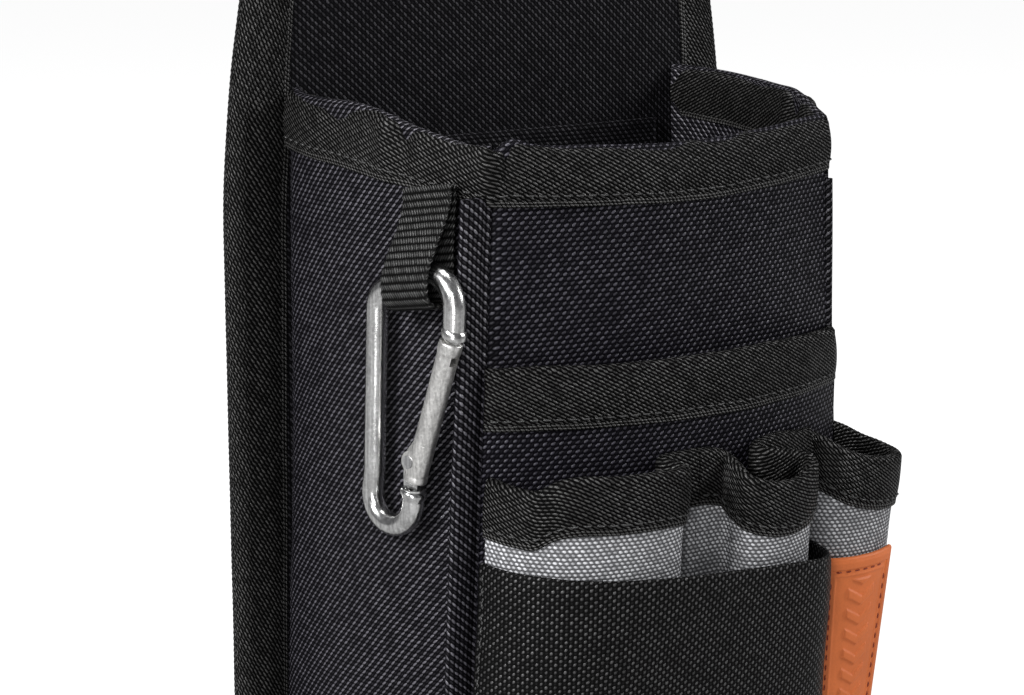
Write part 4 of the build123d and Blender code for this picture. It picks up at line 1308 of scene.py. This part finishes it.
def build_carabiner_details():
    """Collars pressed onto the wire's two ends and the flattened sleeve that carries the rivet."""
    sleeve("carabiner_nose_collar", "carabiner", (-0.6, -40.3), (-0.5, -30.0),
           [(-0.1, 0, 2.30, 2.30), (0.1, 0, 2.72, 2.72), (0.7, 0, 2.86, 2.86), (1.5, 0, 2.80, 2.80),
            (2.0, 0, 2.62, 2.62), (2.3, 0, 2.42, 2.42)], 0.28)
    sleeve("carabiner_shoulder_collar", "carabiner", (-12.5, -75.9), (-12.55, -80.0),
           [(-0.1, 0, 2.0, 2.0), (0.05, 0, 2.55, 2.55), (0.5, 0, 2.95, 2.95), (1.1, 0, 3.02, 3.02),
            (1.7, 0, 2.82, 2.82), (2.6, 0, 2.45, 2.45)], 0.22)
    gate_foot, gate_tip = (-12.0, -73.9), (-1.3, -41.0)
    sleeve("gate_rivet_sleeve", "gate", gate_foot, gate_tip,
           [(0.0, 0.0, 2.35, 2.3), (0.15, 0.0, 2.68, 2.6), (1.0, 0.1, 2.74, 2.64),
            (1.7, 0.15, 2.60, 2.56), (2.2, 0.3, 2.85, 2.6), (3.4, 0.7, 3.25, 2.66),
            (4.8, 0.8, 3.35, 2.68), (6.6, 0.6, 3.15, 2.66), (8.0, 0.25, 2.80, 2.6),
            (9.4, 0.0, 2.52, 2.52), (9.8, 0.0, 2.42, 2.42)])
    sleeve("gate_tip_collar", "gate", gate_foot, gate_tip,
           [(31.6, 0, 2.42, 2.42), (31.8, 0, 2.62, 2.62), (33.0, 0, 2.70, 2.70),
            (34.2, 0, 2.62, 2.62), (34.5, 0, 2.30, 2.30)])


# ---------------------------------------------------------------- camera, floor and light
def build_camera():
    """Looks at the pouch from its front left and a little above."""
    azimuth, elevation = math.radians(36.0), math.radians(11.9)
    right = Vector((math.cos(azimuth), -math.sin(azimuth), 0))
    ahead = Vector((math.sin(azimuth) * math.cos(elevation),
                    math.cos(azimuth) * math.cos(elevation),
                    -math.sin(elevation)))
    up = right.cross(ahead)
    corner = Vector((-CORNER_HALF_AT_RIM, FRONT_Y, RIM_Z))
    distance, beside, above = 520.0, 4.73, 42.47
    place = corner + right * beside - up * above - ahead * distance
    data = bpy.data.cameras.new("camera")
    data.lens, data.sensor_width = 85.0, 36.0
    data.clip_start, data.clip_end = 0.01, 50.0
    camera = bpy.data.objects.new("camera", data)
    axes = Matrix((right, up, -ahead)).transposed().to_4x4()
    axes.translation = place * MM
    camera.matrix_world = axes
    bpy.context.scene.collection.objects.link(camera)
    bpy.context.scene.camera = camera


def area_light(name, place, aim, size, power):
    data = bpy.data.lights.new(name, "AREA")
    data.shape, data.size, data.size_y = "RECTANGLE", size[0], size[1]
    data.energy = power
    light = bpy.data.objects.new(name, data)
    light.location = place
    light.rotation_euler = (Vector(aim) - Vector(place)).to_track_quat("-Z", "Y").to_euler()
    bpy.context.scene.collection.objects.link(light)


def build_studio():
    """A floor and a room that are white to the camera but dim to all other rays, and four soft
    lights."""
    mesh = bpy.data.meshes.new("floor")
    side = 12.0
    mesh.from_pydata([(-side, -side, 0), (side, -side, 0), (side, side, 0), (-side, side, 0)], [],
                     [(0, 1, 2, 3)])
    floor = bpy.data.objects.new("floor", mesh)
    bpy.context.scene.collection.objects.link(floor)
    tree = Tree("pale_floor")
    tree.finish((0.20, 0.20, 0.20, 1), 0.9, 0.1)
    tree.shader.inputs["Emission Color"].default_value = (1, 1, 1, 1)
    seen = tree.nodes.new("ShaderNodeLightPath").outputs["Is Camera Ray"]
    glow = tree.math("MULTIPLY_ADD", seen, 0.72, 0.20)
    tree.put(tree.shader.inputs["Emission Strength"], glow)
    mesh.materials.append(tree.material)
    world = bpy.data.worlds.new("studio")
    world.use_nodes = True
    nodes, links = world.node_tree.nodes, world.node_tree.links
    room, wall = nodes["Background"], nodes.new("ShaderNodeBackground")
    room.inputs[0].default_value = (0.16, 0.16, 0.165, 1)
    wall.inputs[0].default_value = (1, 1, 1, 1)
    pick, ray = nodes.new("ShaderNodeMixShader"), nodes.new("ShaderNodeLightPath")
    links.new(ray.outputs["Is Camera Ray"], pick.inputs[0])
    links.new(room.outputs[0], pick.inputs[1])
    links.new(wall.outputs[0], pick.inputs[2])
    links.new(pick.outputs[0], nodes["World Output"].inputs[0])
    bpy.context.scene.world = world
    bpy.context.scene.view_settings.view_transform = "Standard"
    area_light("key", (-1.30, -0.22, 0.85), (0, 0, 0.12), (0.42, 0.42), 27)
    area_light("fill_right", (1.30, -0.80, 0.80), (0.03, 0, 0.1), (0.45, 0.6), 15)
    area_light("strip_left", (-0.95, -0.95, 0.42), (0, 0, 0.12), (0.34, 0.9), 9)
    area_light("top", (0.1, 0.2, 1.5), (0, 0, 0.15), (0.9, 0.9), 14)


# ---------------------------------------------------------------- assembly
def keep(piece, slot):
    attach(piece, "pouch")


build_camera()
build_studio()
for gusset in build_gussets():
    keep(gusset, "oxford_black")
keep(build_front(), "oxford_black")
keep(build_welt(-1, "corner_welt_left"), "oxford_black")
keep(build_welt(1, "corner_welt_right"), "oxford_black")
keep(build_rim(), "tape_black")
keep(build_base(), "oxford_black")
# The inner face takes the darker oxford, whose darkness is painted shade.
keep(build_panel_face("back_panel_inner_cloth", "back_panel_inner", INNER_LOW[1] + 0.5, 0.9, -0.7,
                      OXFORD_INSIDE_SHADED), "oxford_black")
keep(build_panel_face("back_foam_layer", "back_foam_pad", INNER_HIGH[1] + 1.3, 2.2, -0.2, FOAM,
                      1.8), "foam")
keep(build_panel_face("back_panel_outer_cloth", "back_panel_outer", OUTER_HIGH[1] - 0.5, 0.9, 0.8,
                      OXFORD, seed=63), "oxford_black")
keep(build_back_binding(), "tape_black")
keep(build_slip_pocket(), "oxford_black")
pocket, pocket_tape = build_pocket()
keep(pocket, "oxford_black")
keep(pocket_tape, "tape_black")
for loop_name, loop_seed in (("left", 101), ("middle", 102), ("right", 103)):
    grey, tape = build_loop(loop_name, loop_seed)
    keep(grey, "oxford_grey")
    keep(tape, "tape_black")
keep(build_band(), "webbing_black")
build_label()
build_tab_mesh()
keep(build_tunnel(), "webbing_black")
build_bartacks()
dress_carabiner()
build_carabiner_details()
stitch_object("seam_stitches", seams, THREAD)
